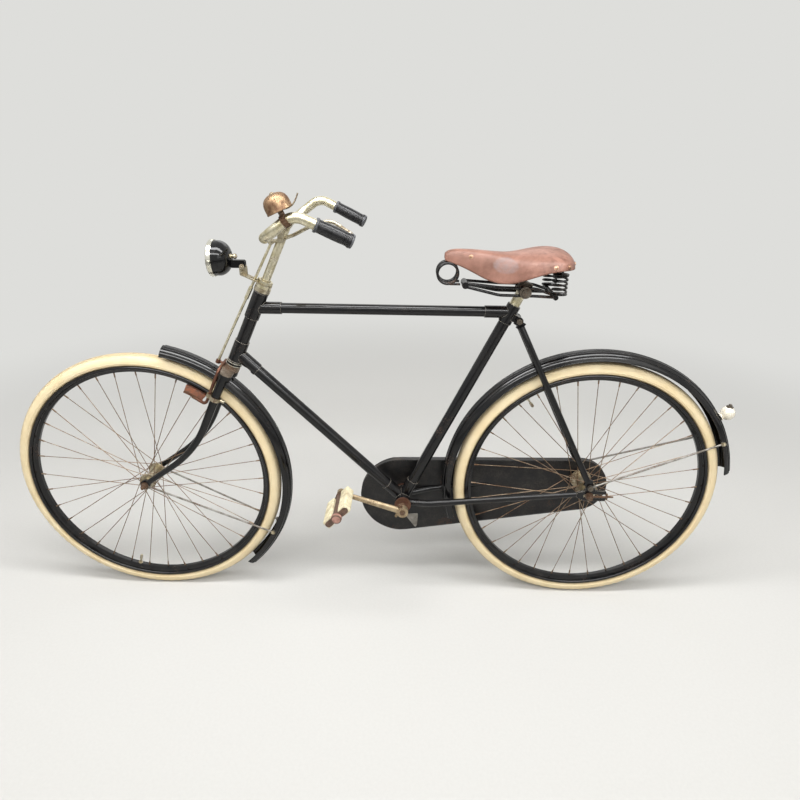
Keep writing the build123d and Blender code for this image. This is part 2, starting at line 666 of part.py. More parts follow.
# Chain case: a closed hollow case round the chain, with openings for the stay, axle and crank
case_inner = 38.0
case_outer = dropout_plane - dropout_thickness / 2 - 0.8
case_wall = 1.2
case_front = spot(492, 0, 282.5)
case_front_radius = 115.5
case_rear = spot(2, 0, 326)
case_rear_radius = 79.0
with BuildPart() as chain_case:
    for inset, mode in ((0.0, Mode.ADD), (case_wall, Mode.SUBTRACT)):
        start = case_front - Vector(0, case_outer - inset, 0)
        with BuildSketch(sideways(start)):
            Circle(case_front_radius - inset)
            with Locations(((case_rear - case_front).X, (case_front - case_rear).Z)):
                Circle(case_rear_radius - inset)
            make_hull()
        extrude(amount=case_outer - case_inner - 2 * inset, mode=mode)
        if mode == Mode.ADD:
            fillet(chain_case.faces().sort_by(Axis.Y)[0].edges(), 2 * case_wall)
    add_rod(bracket - Vector(0, case_inner - 3, 0), bracket - Vector(0, case_outer + 5, 0), cup_rim_radius + seat_gap,
            mode=Mode.SUBTRACT)
    add_rod(rear_hub - Vector(0, case_inner - 3, 0), rear_hub - Vector(0, case_outer + 5, 0), 20.0,
            mode=Mode.SUBTRACT)
    add_tapered_rod(chain_stay_route(-1), stay_bend_radius, chain_stay_radius + 1.0, stay_end_radius + 1.0,
                    mode=Mode.SUBTRACT)
keep(chain_case, "chain_case")

# Crank axle and cottered cranks with their pedal spindles
with BuildPart() as crank_axle:
    reach = Vector(0, crank_inner + crank_thickness, 0)
    add_rod(bracket - reach, bracket + reach, crank_axle_radius)
keep(crank_axle, "crank_axle")

spindle_end = crank_inner + crank_thickness + pedal_gap + 2 * pedal_plate_thickness + pedal_block_length + 2 * seat_gap
crank_forward = Vector(cos(radians(crank_rise)), 0, sin(radians(crank_rise)))
crank_across = Vector(-sin(radians(crank_rise)), 0, cos(radians(crank_rise)))
for side, name in ((1, "crank_left"), (-1, "crank_right")):
    out = Vector(0, side, 0)
    inner_face = bracket + out * crank_inner
    middle = bracket + out * (crank_inner + crank_thickness / 2)
    outer_face = bracket + out * (crank_inner + crank_thickness)
    arm = crank_forward * side
    eye_offset = arm * crank_length
    with BuildPart() as crank:
        add_rod(inner_face, outer_face, crank_boss_radius)
        add_rod(inner_face + eye_offset + out, outer_face + eye_offset - out, pedal_eye_radius)
        with BuildSketch(Plane(origin=middle + arm * 11, x_dir=crank_across, z_dir=arm)):
            Ellipse(9.0, 6.5)
        with BuildSketch(Plane(origin=middle + arm * (crank_length - 7), x_dir=crank_across, z_dir=arm)):
            Ellipse(6.8, 5.5)
        loft()
        cotter = middle + arm * (crank_axle_radius + 3.6)
        add_rod(cotter - crank_across * 21, cotter + crank_across * 19, 3.3)
        add_rod(inner_face - out * 5, outer_face + out * 5, crank_axle_radius + braze_gap, mode=Mode.SUBTRACT)
        add_rod(inner_face + eye_offset - out * 5, outer_face + eye_offset + out * 5,
                pedal_spindle_radius + braze_gap, mode=Mode.SUBTRACT)
        add_rod(inner_face + eye_offset + out * 2, bracket + eye_offset + out * (spindle_end + 1),
                pedal_spindle_radius)
    keep(crank, name)

# Pedals: a frame of barrel, two plates and end cap, with two rubber blocks
for side, name in ((1, "left_pedal"), (-1, "right_pedal")):
    out = Vector(0, side, 0)
    axis_place = bracket + crank_forward * side * crank_length
    plate_in = crank_inner + crank_thickness + pedal_gap
    block_in = plate_in + pedal_plate_thickness + seat_gap
    plate_out = block_in + pedal_block_length + seat_gap
    with BuildPart() as pedal_frame:
        add_rod(axis_place + out * plate_in, axis_place + out * (plate_out + pedal_plate_thickness),
                pedal_barrel_radius)
        for start in (plate_in, plate_out):
            with BuildSketch(Plane(origin=axis_place + out * start, x_dir=(1, 0, 0), z_dir=out)):
                with Locations(Location((0, 0), side * pedal_tilt)):
                    SlotOverall(2 * pedal_block_spread + 22, 16)
                Circle(12.5)
            extrude(amount=pedal_plate_thickness)
        cap_start = axis_place + out * (plate_out + pedal_plate_thickness)
        add_rod(cap_start, cap_start + out * pedal_cap_length, pedal_cap_radius)
        fillet(pedal_frame.faces().sort_by(Axis(axis_place, out))[-1].edges(), 3.0)
        add_rod(axis_place + out * (plate_in - 5), axis_place + out * (spindle_end + 1.5),
                pedal_spindle_radius + running_gap, mode=Mode.SUBTRACT)
    keep(pedal_frame, f"{name}_frame")

    with BuildPart() as pedal_blocks:
        with BuildSketch(Plane(origin=axis_place + out * block_in, x_dir=(1, 0, 0), z_dir=out)):
            with Locations(Location((0, 0), side * pedal_tilt)):
                with Locations((-pedal_block_spread, 0), (pedal_block_spread, 0)):
                    RectangleRounded(pedal_block_width, pedal_block_height, 4)
            Circle(pedal_barrel_radius + seat_gap, mode=Mode.SUBTRACT)
        extrude(amount=pedal_block_length)
    keep(pedal_blocks, f"{name}_blocks")

# Headset nuts on the steerer, with the lamp bracket's plate between them
nut_start = head_tube_end + cup_height + seat_gap
plate_start = nut_start + 7.0 + seat_gap
bracket_plate = 3.0
lock_start = plate_start + bracket_plate + seat_gap
with BuildPart() as headset_nuts:
    add_rod(steered(0, 0, nut_start), steered(0, 0, plate_start - seat_gap), cup_radius - 1.0)
    with BuildSketch(across_steering(lock_start)):
        RegularPolygon(cup_radius - 1.0, 6)
    extrude(amount=7.5)
    add_rod(steered(0, 0, nut_start - 5), steered(0, 0, lock_start + 10), steerer_radius + braze_gap,
            mode=Mode.SUBTRACT)
keep(headset_nuts, "headset_nuts")
steerer_end = lock_start + 7.5

# Lamp bracket: plate round the steerer, slotted for the brake rod, with a tab for the lamp
plate_reach = 58.0
plate_width = 26.0
tab_thickness = 4.0
tab_place = steered(56.2, 0, plate_start + 10.3)
brake_rod_top = steered(19.0, 0, head_tube_end + 120.0)
brake_rod_foot = steered(38.0, 0, 357.5)
with BuildPart() as lamp_bracket:
    with BuildSketch(across_steering(plate_start)):
        Circle(cup_radius - 0.5)
        with Locations((plate_reach / 2, 0)):
            Rectangle(plate_reach, plate_width)
        Circle(steerer_radius + braze_gap, mode=Mode.SUBTRACT)
        with Locations((plate_reach / 2 - 3, 0)):
            SlotOverall(20, 11, mode=Mode.SUBTRACT)
    extrude(amount=bracket_plate)
    with BuildSketch(sideways(tab_place - Vector(0, tab_thickness / 2, 0))):
        RectangleRounded(19, 27, 6)
    extrude(amount=tab_thickness)
keep(lamp_bracket, "lamp_bracket")

# Lamp, from its rear face forward: hollow bowl with ears for the bracket's tab, a bright rim and a glass
lamp_rear = steered(92.8, 0, head_tube_end + 42.0)
lamp_radius = 40.5
lamp_wall = 1.5
lamp_rear_radius = 16.0
lamp_bowl_depth = 24.0
lamp_shell_depth = 41.0
lamp_rim_start = 36.0
lamp_rim_radius = 43.0
lamp_lip_start = 44.0
lamp_lip_radius = 36.5
lamp_rim_end = 48.0
lamp_crown = 54.0
lamp_section = Plane(origin=lamp_rear, x_dir=(1, 0, 0), z_dir=(0, -1, 0))
lamp_axis = Axis(lamp_rear, (1, 0, 0))
with BuildPart() as lamp_shell:
    with BuildSketch(lamp_section):
        with BuildLine():
            inside = lamp_radius - lamp_wall
            Polyline((lamp_wall, 0), (0, 0), (0, lamp_rear_radius))
            ThreePointArc((0, lamp_rear_radius), (lamp_bowl_depth / 3, 32), (lamp_bowl_depth, lamp_radius))
            Polyline((lamp_bowl_depth, lamp_radius), (lamp_shell_depth, lamp_radius), (lamp_shell_depth, inside),
                     (lamp_bowl_depth, inside))
            ThreePointArc((lamp_bowl_depth, inside), (lamp_bowl_depth / 3 + 1.2, 30.9),
                          (lamp_wall, lamp_rear_radius - 0.6))
            Line((lamp_wall, lamp_rear_radius - 0.6), (lamp_wall, 0))
        make_face()
    revolve(axis=lamp_axis)
    ear_offset = tab_thickness / 2 + seat_gap
    for start in (ear_offset, -ear_offset - tab_thickness):
        with BuildSketch(sideways(tab_place + Vector(0, start, 0))):
            with Locations((11.2, -15.5)):
                RectangleRounded(35.4, 18, 5)
        extrude(amount=tab_thickness)
keep(lamp_shell, "lamp_shell")

with BuildPart() as lamp_rim:
    with BuildSketch(lamp_section):
        with BuildLine():
            seat = lamp_radius + seat_gap
            Polyline((lamp_rim_start, seat), (lamp_rim_start, lamp_rim_radius - 1),
                     (lamp_rim_start + 4, lamp_rim_radius), (lamp_rim_end - 3, lamp_rim_radius),
                     (lamp_rim_end, lamp_rim_radius - 3), (lamp_rim_end, lamp_lip_radius),
                     (lamp_lip_start, lamp_lip_radius), (lamp_lip_start, seat), close=True)
        make_face()
    revolve(axis=lamp_axis)
    knob = lamp_rear + Vector(lamp_rim_start + 4, lamp_radius + 1, -3.5)
    add_rod(knob, knob + Vector(0, 9, 0), 5.0)
keep(lamp_rim, "lamp_rim")

with BuildPart() as lamp_glass:
    with BuildSketch(lamp_section):
        with BuildLine():
            window = lamp_lip_radius - seat_gap
            step = lamp_lip_start - seat_gap
            curve = [(along, out) for out, along in dome(step, window, lamp_crown)]
            Polyline((lamp_crown, 0), (lamp_shell_depth + seat_gap, 0), (lamp_shell_depth + seat_gap, lamp_radius),
                     (step, lamp_radius), (step, window))
            ThreePointArc(*curve)
        make_face()
    revolve(axis=lamp_axis)
keep(lamp_glass, "lamp_glass")

# Stem: a round column with a cross clamp for the handlebar
stem_top = head_tube_end + stem_rise
bar_centre = steered(6.0, 0, stem_top)
clamp_half = 17.0
clamp_wall = 5.0
with BuildPart() as stem:
    add_rod(steered(0, 0, steerer_end + seat_gap), steered(0, 0, stem_top - 6), stem_radius)
    clamp_end = bar_centre + Vector(0, clamp_half, 0)
    add_rod(bar_centre - Vector(0, clamp_half, 0), clamp_end, bar_radius + clamp_wall)
    add_rod(bar_centre - Vector(0, clamp_half, 0), clamp_end, bar_radius + braze_gap, mode=Mode.SUBTRACT)
keep(stem, "stem")

# Handlebar: straight in the clamp, out and forward, round to the rear and up, then down to the grips.
# Its bends from the middle to an end are at the clamp, the forward corner and the hump
bar_start = Vector(0, 30, 0)
bar_corner = Vector(24, 189, -19)
bar_hump = Vector(-56, 189, 41)
bar_end = Vector(-167, 170, -11)
bar_bends = [60, 52, 37]
left_points = [bar_centre + place for place in (bar_start, bar_corner, bar_hump, bar_end)]
right_points = [Vector(place.X, -place.Y, place.Z) for place in reversed(left_points)]
with BuildPart() as handlebar:
    add_bent_rod(right_points + left_points, bar_bends[::-1] + bar_bends, bar_radius)
keep(handlebar, "handlebar")

grip_direction = (bar_end - bar_hump).normalized()
grip_cap = 6.0
grip_ring = 4.0
with BuildPart() as handle_grips:
    for side in (1, -1):
        end = bar_centre + Vector(bar_end.X, side * bar_end.Y, bar_end.Z)
        along = Vector(grip_direction.X, side * grip_direction.Y, grip_direction.Z)
        add_rod(end - along * (grip_length - grip_cap), end + along * grip_cap, grip_radius)
        for back in (grip_length - grip_cap, grip_ring):
            add_rod(end - along * back, end - along * (back - grip_ring), grip_radius + grip_ring_height)
        add_rod(end - along * grip_length, end + along * seat_gap, bar_radius + braze_gap, mode=Mode.SUBTRACT)
keep(handle_grips, "handle_grips")

# Bell on the left of the bar, between its forward bend and its hump: a dome on a base plate that is
# closed below, on a post from a clip round the bar
bell_reach = 237.0
bell_radius = 27.5
bell_wall = 1.5
bell_rim = 30.0
bell_height = 26.5
bell_tilt = 25.0
with BuildLine() as bar_route:
    FilletPolyline(*(right_points + left_points), radius=bar_bends[::-1] + bar_bends)
bell_share = 0.5 + bell_reach / bar_route.wire().length
bell_place = bar_route.wire() @ bell_share
bell_along = bar_route.wire() % bell_share
bell_up = Vector(sin(radians(bell_tilt)), 0, cos(radians(bell_tilt)))
bell_base_top = bell_rim - seat_gap
with BuildPart() as bell_base:
    add_rod(bell_place - bell_along * 6, bell_place + bell_along * 6, bar_radius + 2.5)
    add_rod(bell_place, bell_place + bell_up * bell_base_top, 6.0)
    add_rod(bell_place + bell_up * (bell_base_top - 3), bell_place + bell_up * bell_base_top,
            bell_radius - bell_wall - seat_gap)
    add_bent_rod(right_points + left_points, bar_bends[::-1] + bar_bends, bar_radius + braze_gap,
                 mode=Mode.SUBTRACT)
keep(bell_base, "bell_base")

with BuildPart() as bell_dome:
    with BuildSketch(Plane(origin=bell_place + bell_up * bell_rim, x_dir=Vector(0, 1, 0),
                           z_dir=bell_up.cross(Vector(0, -1, 0)))):
        with BuildLine():
            inner = bell_radius - bell_wall
            brow = bell_height - 6
            Polyline((inner, 0), (bell_radius, 0), (bell_radius, 10))
            ThreePointArc((bell_radius, 10), (bell_radius - 1.6, 16), (bell_radius - 6, brow))
            ThreePointArc(*dome(brow, bell_radius - 6, bell_height))
            Line((0, bell_height), (0, bell_height - bell_wall))
            ThreePointArc(*reversed(dome(brow - 1.2, inner - 5.6, bell_height - bell_wall)))
            ThreePointArc((inner - 5.6, brow - 1.2), (inner - 1.5, 15.5), (inner, 10))
            Line((inner, 10), (inner, 0))
        make_face()
    revolve(axis=Axis(bell_place, bell_up))
keep(bell_dome, "bell_dome")

# Rod brake: lever on a clip below the bar, rod ahead of the head tube, stirrup and blocks at the rim
lever_radius = 4.0
lever_pivot = bar_centre + Vector(4, 30, -31)
with BuildPart() as brake_lever:
    rod_eye = brake_rod_top + Vector(0, 9, 0)
    add_bent_rod(
        [rod_eye, lever_pivot] + [
            bar_centre + place
            for place in (Vector(-26, 40, -20), Vector(-84, 132, 14), Vector(-125, 138, 25), Vector(-168, 140, -3))
        ],
        [12, 25, 40, 30],
        lever_radius,
    )
    add_rod(lever_pivot - Vector(0, 6, 0), lever_pivot + Vector(0, 6, 0), 8.0)
    add_rod(rod_eye - Vector(0, 4, 0), rod_eye + Vector(0, 4, 0), 6.5)
    add_rod(rod_eye - Vector(0, 13, 0), rod_eye, 2.5)
    add_rod(lever_pivot, lever_pivot + Vector(0, 14, 0), 3.0)
keep(brake_lever, "brake_lever")

shoe_angle = 120.8
shoe_span = 10.0
shoe_start = radians(shoe_angle + shoe_span / 2)
shoe_up = Vector(cos(shoe_start), 0, sin(shoe_start))
shoe_gap = 5.5
block_top = rim_floor - rim_wall - 1.5 - shoe_gap
block_bottom = block_top - 17.0
block_left = 12.0
shoe_middle = Vector(cos(radians(shoe_angle)), 0, sin(radians(shoe_angle)))
with BuildPart() as brake_blocks:
    with BuildSketch(Plane(origin=front_hub, x_dir=shoe_up, z_dir=shoe_up.cross(Vector(0, 1, 0)))):
        with Locations(((block_top + block_bottom) / 2, block_left), ((block_top + block_bottom) / 2, -block_left)):
            Rectangle(block_top - block_bottom, 9.0)
    revolve(axis=Axis(front_hub, (0, 1, 0)), revolution_arc=shoe_span)
keep(brake_blocks, "brake_blocks")

stirrup_radius = 4.0
arm_left = 38.0
arm_ahead = 24.0
with BuildPart() as brake_stirrup:
    foot = front_hub + shoe_middle * (block_bottom - seat_gap - 5.0 - stirrup_radius / 2)
    route = [foot + Vector(0, block_left, 0)]
    route += [steered(arm_ahead, arm_left, 246.0), steered(arm_ahead, arm_left, 353.0)]
    route += [Vector(place.X, -place.Y, place.Z) for place in reversed(route)]
    add_bent_rod(route, [14, 18, 18, 14], stirrup_radius)
    add_rod(steered(arm_ahead, 0, 353), steered(38, 0, 353), stirrup_radius - 0.8)
    add_rod(steered(38, 0, 348), steered(38, 0, 357), 6.0)
    with BuildSketch(Plane(origin=front_hub, x_dir=shoe_up, z_dir=shoe_up.cross(Vector(0, 1, 0)))):
        holder = block_bottom - seat_gap - 2.5
        with Locations((holder, block_left), (holder, -block_left)):
            Rectangle(5.0, 12.0)
    revolve(axis=Axis(front_hub, (0, 1, 0)), revolution_arc=shoe_span)
keep(brake_stirrup, "brake_stirrup")

with BuildPart() as brake_rod:
    add_rod(brake_rod_foot, brake_rod_top, 3.2)
    adjuster = brake_rod_foot + (brake_rod_top - brake_rod_foot) * 0.585
    direction = (brake_rod_top - brake_rod_foot).normalized()
    add_rod(adjuster - direction * 16, adjuster + direction * 16, 5.0)
    add_rod(brake_rod_top - Vector(0, 3, 0), brake_rod_top + Vector(0, 3, 0), 6.5)
    add_rod(brake_rod_top - Vector(0, 6, 0), brake_rod_top + Vector(0, 6, 0), 2.5 + running_gap, mode=Mode.SUBTRACT)
keep(brake_rod, "brake_rod")

# Brake clips: the lever's clip on the bar and a guide on each fork blade
with BuildPart() as brake_clips:
    start = left_points[0]
    outward = (left_points[1] - start).normalized()
    add_rod(start + outward * 8, start + outward * 18, bar_radius + 3)
    with BuildSketch(sideways(lever_pivot + Vector(0, 7, 0))):
        with Locations((-1, -15)):
            Rectangle(14, 32)
        Circle(7)
    extrude(amount=5.0)
    add_rod(start, start + outward * 40, bar_radius + braze_gap, mode=Mode.SUBTRACT)
    add_rod(lever_pivot, lever_pivot + Vector(0, 20, 0), 3.0 + running_gap, mode=Mode.SUBTRACT)
    for side in (1, -1):
        middle = side * 41.0
        add_rod(steered(fork_blade_offset, middle, 268), steered(fork_blade_offset, middle, 278), blade_top_radius + 3)
        add_rod(steered(arm_ahead, side * arm_left, 268), steered(arm_ahead, side * arm_left, 278), 7.0)
        add_rod(steered(fork_blade_offset, middle, 273), steered(-17, middle, 273), 4.0)
        add_rod(steered(fork_blade_offset, middle, 260), steered(fork_blade_offset, middle, 286), blade_top_radius + 0.5,
                mode=Mode.SUBTRACT)
        add_rod(steered(arm_ahead, side * arm_left, 260), steered(arm_ahead, side * arm_left, 286),
                stirrup_radius + seat_gap, mode=Mode.SUBTRACT)
keep(brake_clips, "brake_clips")

# Seat post, in the seat tube
post_radius = main_tube_radius - main_tube_wall - braze_gap
post_top_radius = 11.0
post_step = seat_tube_length + 34.0
post_top = seat_tube_length + 60.0
with BuildPart() as seat_post:
    add_rod(seated(0, 0, seat_tube_length - 70), seated(0, 0, post_step), post_radius)
    add_rod(seated(0, 0, post_step), seated(0, 0, post_top), post_top_radius)
keep(seat_post, "seat_post")

# Saddle clamp round the post, with cheeks and a cross bolt that hold the rails
clamp_centre = seated(0, 0, post_step + 7)
rail_radius = 3.5
rail_left = 26.0
rail_spread = 9.0
cheek_radius = 14.0
cheek_gap = rail_radius + seat_gap
with BuildPart() as saddle_clamp:
    add_rod(seated(0, 0, post_step + seat_gap), seated(0, 0, post_top + 2), post_top_radius + 5)
    add_rod(clamp_centre - Vector(0, 42, 0), clamp_centre + Vector(0, 42, 0), 4.5)
    for side in (1, -1):
        for near, far, radius in (
            (10, rail_left - cheek_gap, cheek_radius),
            (rail_left + cheek_gap, 35, cheek_radius),
            (35, 40, 8.5),
        ):
            add_rod(clamp_centre + Vector(0, side * near, 0), clamp_centre + Vector(0, side * far, 0), radius)
    add_rod(seated(0, 0, post_step - 5), seated(0, 0, post_top + seat_gap), post_top_radius + braze_gap,
            mode=Mode.SUBTRACT)
    add_rod(seated(0, 0, seat_tube_length), seated(0, 0, post_step), post_radius + seat_gap, mode=Mode.SUBTRACT)
keep(saddle_clamp, "saddle_clamp")

# Saddle frame: four rails through the clamp, a front plate and a rear bridge
bridge_ahead = 148.0
bridge_height = 880.5
bridge_radius = 6.0
with BuildPart() as saddle_frame:
    for side in (1, -1):
        for level, front_height, rear_height in ((-rail_spread, 893.0, 874.0), (rail_spread, 901.0, 878.5)):
            mid = clamp_centre + Vector(0, side * rail_left, level)
            add_bent_rod(
                [
                    spot(350, side * 18, front_height),
                    mid + Vector(60, 0, 1),
                    mid - Vector(24, 0, 0),
                    spot(bridge_ahead - 4, side * 29, rear_height),
                ],
                80,
                rail_radius,
            )
    add_rod(spot(352, -24, 897), spot(352, 24, 897), 8.0)
    add_rod(spot(bridge_ahead, -62, bridge_height), spot(bridge_ahead, 62, bridge_height), bridge_radius)
keep(saddle_frame, "saddle_frame")

# Saddle leather's sections, named by where they lie, their top, their shoulder's half width and height,
# and their edge's half width and height
saddle_sections = (
    (402.0, 969.0, 9.0, 966.0, 12.0, 952.0),
    (378.0, 979.0, 14.0, 974.0, 21.0, 948.0),
    (335.0, 978.0, 19.0, 971.0, 28.0, 930.0),
    (300.0, 974.5, 24.0, 966.0, 37.0, 911.0),
    (262.0, 972.0, 36.0, 962.0, 52.0, 908.0),
    (215.0, 978.0, 66.0, 964.0, 80.0, 925.0),
    (165.0, 984.5, 88.0, 969.0, 102.0, 946.0),
    (140.0, 984.0, 86.0, 968.0, 98.0, 949.0),
    (121.0, 977.0, 68.0, 963.0, 80.0, 948.0),
    (109.0, 964.0, 42.0, 956.0, 52.0, 949.0),
)
leather = 4.5


def leather_outline(row, skin, bottom):
    """One cross section of the saddle, inside its outer face by the given skin, down to a height."""
    ahead, top, shoulder, shoulder_height, edge, _ = row
    with BuildSketch(Plane(origin=spot(ahead, 0, rider_height), x_dir=(0, 1, 0), z_dir=(1, 0, 0))) as outline:
        with BuildLine():
            low = bottom - rider_height
            side = shoulder_height - skin - rider_height
            ThreePointArc((shoulder - skin, side), (0, top - skin - rider_height), (skin - shoulder, side))
            Polyline((skin - shoulder, side), (skin - edge, low), (edge - skin, low), (shoulder - skin, side))
        make_face()
    return outline.sketch


# Saddle springs: two loops on each side of the nose, and at the rear a coil between two seats on
# each side, with the plate on them that the leather's rear is fixed to
loop_radius = 24.0
loop_wire = 3.0
loop_centre = spot(394, 0, 923)
loop_pitch = 2 * loop_wire + seat_gap
coil_place = spot(140, 52, bridge_height)
coil_radius = 16.0
coil_wire = 2.5
coil_turns = 4.5
coil_steps = 12
coil_seat = 2.0
cantle_bottom = 934.0
cantle_thickness = 3.0
with BuildPart() as saddle_springs:
    for side in (1, -1):
        for left in (side * (17.3 - loop_pitch), side * 17.3):
            with BuildSketch(Plane(origin=loop_centre + Vector(0, left, 0), x_dir=(1, 0, 0), z_dir=(0, 0, 1))):
                with Locations((loop_radius, 0)):
                    Circle(loop_wire)
            revolve(axis=Axis(loop_centre, (0, 1, 0)))
        tail = loop_centre + Vector(-6, side * 17.3, -loop_radius)
        add_rod(tail, tail - Vector(24, 0, 0), loop_wire)
        seat = Vector(coil_place.X, side * coil_place.Y, coil_place.Z + bridge_radius + seat_gap)
        coil_height = cantle_bottom - rider_height - seat_gap - seat.Z
        add_rod(seat, seat + Vector(0, 0, coil_seat), coil_radius + coil_wire)
        add_rod(seat + Vector(0, 0, coil_height - coil_seat), seat + Vector(0, 0, coil_height), coil_radius + coil_wire)
        rise = coil_height - 2 * coil_wire
        steps = round(coil_turns * coil_steps)
        coil_points = [
            seat + Vector(coil_radius, 0, coil_wire + rise * step / steps).rotate(Axis.Z, 360 * step / coil_steps)
            for step in range(steps + 1)
        ]
        with BuildLine() as coil_line:
            Polyline(*coil_points)
        with BuildSketch(Plane(origin=coil_line.line @ 0, z_dir=coil_line.line % 0)):
            RegularPolygon(coil_wire, 6)
        sweep(path=coil_line.line, transition=Transition.RIGHT)
    cantle_skin = leather + seat_gap
    cantle_edge = coil_place.Y + coil_radius + coil_wire + cantle_skin + 3.0
    cantle_row = saddle_sections[-3][:4] + (cantle_edge, cantle_bottom)
    extrude(leather_outline(cantle_row, cantle_skin, cantle_bottom), amount=cantle_thickness)
keep(saddle_springs, "saddle_springs")

# Saddle leather: a hollow skin, open below, that rests on the loops at its nose
skirt = 20.0
with BuildPart() as saddle_leather:
    loft([leather_outline(row, 0.0, row[-1]) for row in saddle_sections])
    loft([leather_outline(row, leather, row[-1] - skirt) for row in saddle_sections[1:-1]], mode=Mode.SUBTRACT)
    add_rod(loop_centre - Vector(0, 30, 0), loop_centre + Vector(0, 30, 0), loop_radius + loop_wire + seat_gap,
            mode=Mode.SUBTRACT)
keep(saddle_leather, "saddle_leather")
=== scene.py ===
import math

import bmesh
import bpy
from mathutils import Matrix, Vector
from mathutils.bvhtree import BVHTree


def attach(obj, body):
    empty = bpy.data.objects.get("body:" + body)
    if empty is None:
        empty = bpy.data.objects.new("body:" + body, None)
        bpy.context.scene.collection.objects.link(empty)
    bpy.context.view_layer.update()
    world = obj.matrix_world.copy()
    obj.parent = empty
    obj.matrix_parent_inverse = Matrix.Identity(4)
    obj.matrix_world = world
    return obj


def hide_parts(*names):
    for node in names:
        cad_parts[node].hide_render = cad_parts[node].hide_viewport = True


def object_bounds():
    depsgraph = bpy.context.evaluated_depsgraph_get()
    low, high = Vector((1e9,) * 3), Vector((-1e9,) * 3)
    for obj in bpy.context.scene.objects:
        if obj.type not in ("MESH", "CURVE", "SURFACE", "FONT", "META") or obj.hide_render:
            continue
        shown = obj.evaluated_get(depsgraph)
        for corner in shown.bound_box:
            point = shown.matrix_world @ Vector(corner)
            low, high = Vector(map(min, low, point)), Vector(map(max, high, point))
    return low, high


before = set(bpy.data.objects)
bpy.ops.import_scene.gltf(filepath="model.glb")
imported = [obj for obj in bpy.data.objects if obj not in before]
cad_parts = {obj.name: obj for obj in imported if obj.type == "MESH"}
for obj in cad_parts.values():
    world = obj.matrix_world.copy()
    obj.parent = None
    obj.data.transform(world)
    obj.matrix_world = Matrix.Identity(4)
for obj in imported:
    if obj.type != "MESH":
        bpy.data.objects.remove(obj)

cad_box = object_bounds()
scene = bpy.context.scene

# Camera: it stands 1.4 m to the rider's left of the bicycle, a little above the saddle, and looks
# down at it through the wide lens of a pocket camera.
eye = bpy.data.cameras.new("eye")
eye.sensor_width = 36.0
eye.lens = 27.05
camera = bpy.data.objects.new("camera", eye)
camera.location = (0.2944, 1.4217, 0.2200)
camera.rotation_euler = [math.radians(angle) for angle in (66.71, -0.73, -178.99)]
scene.collection.objects.link(camera)
scene.camera = camera
scene.view_settings.view_transform = "Standard"


# Studio: a pale paper floor under the tyres and a pale grey room. Two long narrow softboxes overhead
# draw bright lines along each tube and mudguard, and wide panels keep the shadows soft.
def tone(code):
    """The linear colour of an sRGB hex value."""
    parts = [int(code[at:at + 2], 16) / 255 for at in (1, 3, 5)]
    return [part / 12.92 if part <= 0.04045 else ((part + 0.055) / 1.055) ** 2.4 for part in parts] + [1.0]


def spaced(size):
    """The scale of a pattern whose marks lie so many millimetres apart."""
    return 1000 / size


def add(tree, kind, sockets=None, **settings):
    """A node with its settings, and each named socket set to a value or linked to another socket."""
    node = tree.nodes.new(kind)
    for name, value in settings.items():
        setattr(node, name, value)
    for name, value in (sockets or {}).items():
        if isinstance(value, bpy.types.NodeSocket):
            tree.links.new(value, node.inputs[name])
        else:
            node.inputs[name].default_value = value
    return node


def empty_material(name):
    """A material with nothing in it but its output."""
    material = bpy.data.materials.new(name)
    material.use_nodes = True
    material.node_tree.nodes.clear()
    return material, material.node_tree


# The camera, gloss and glass see the room at its own colour. It lights the bicycle half as strongly.
backdrop = "#dededb"
room = bpy.data.worlds.new("pale room")
room.use_nodes = True
scene.world = room
tree = room.node_tree
tree.nodes.clear()
rays = add(tree, "ShaderNodeLightPath")
seen = add(tree, "ShaderNodeMath", {0: rays.outputs["Is Camera Ray"], 1: rays.outputs["Is Glossy Ray"]},
           operation="MAXIMUM")
seen = add(tree, "ShaderNodeMath", {0: seen.outputs[0], 1: rays.outputs["Is Transmission Ray"]},
           operation="MAXIMUM")
strength = add(tree, "ShaderNodeMapRange", {"Value": seen.outputs[0], "To Min": 0.5, "To Max": 1.0})
sky = add(tree, "ShaderNodeBackground", {"Color": tone(backdrop), "Strength": strength.outputs[0]})
add(tree, "ShaderNodeOutputWorld", {"Surface": sky.outputs[0]})

# Matt paper scatters light evenly and takes a soft shadow. Its fibre clouds are drawn 7 mm apart,
# coarser than real ones, so that they show. Past 1.2 m it fades into the room for the camera. In a
# mix of colours, here and below, socket 0 is the share of the second colour, 6 and 7 are the colours.
paper, tree = empty_material("matt paper")
place = add(tree, "ShaderNodeTexCoord")
fibre = add(tree, "ShaderNodeTexNoise", {
    "Vector": place.outputs["Object"], "Scale": spaced(7.143), "Detail": 5.0,
})
shade = add(tree, "ShaderNodeMix", {0: fibre.outputs[0], 6: tone("#c6c5c2"), 7: tone("#cdccc9")},
            data_type="RGBA")
matt = add(tree, "ShaderNodeBsdfDiffuse", {"Color": shade.outputs[2], "Roughness": 0.6})
glow = add(tree, "ShaderNodeEmission", {"Color": tone(backdrop), "Strength": 1.0})
away = add(tree, "ShaderNodeVectorMath", {0: place.outputs["Object"]}, operation="LENGTH")
fade = add(tree, "ShaderNodeMapRange", {"Value": away.outputs["Value"], "From Min": 1.2, "From Max": 3.2},
           interpolation_type="SMOOTHSTEP")
rays = add(tree, "ShaderNodeLightPath")
fade = add(tree, "ShaderNodeMath", {0: fade.outputs[0], 1: rays.outputs["Is Camera Ray"]},
           operation="MULTIPLY")
mixed = add(tree, "ShaderNodeMixShader", {0: fade.outputs[0], 1: matt.outputs[0], 2: glow.outputs[0]})
add(tree, "ShaderNodeOutputMaterial", {"Surface": mixed.outputs[0]})

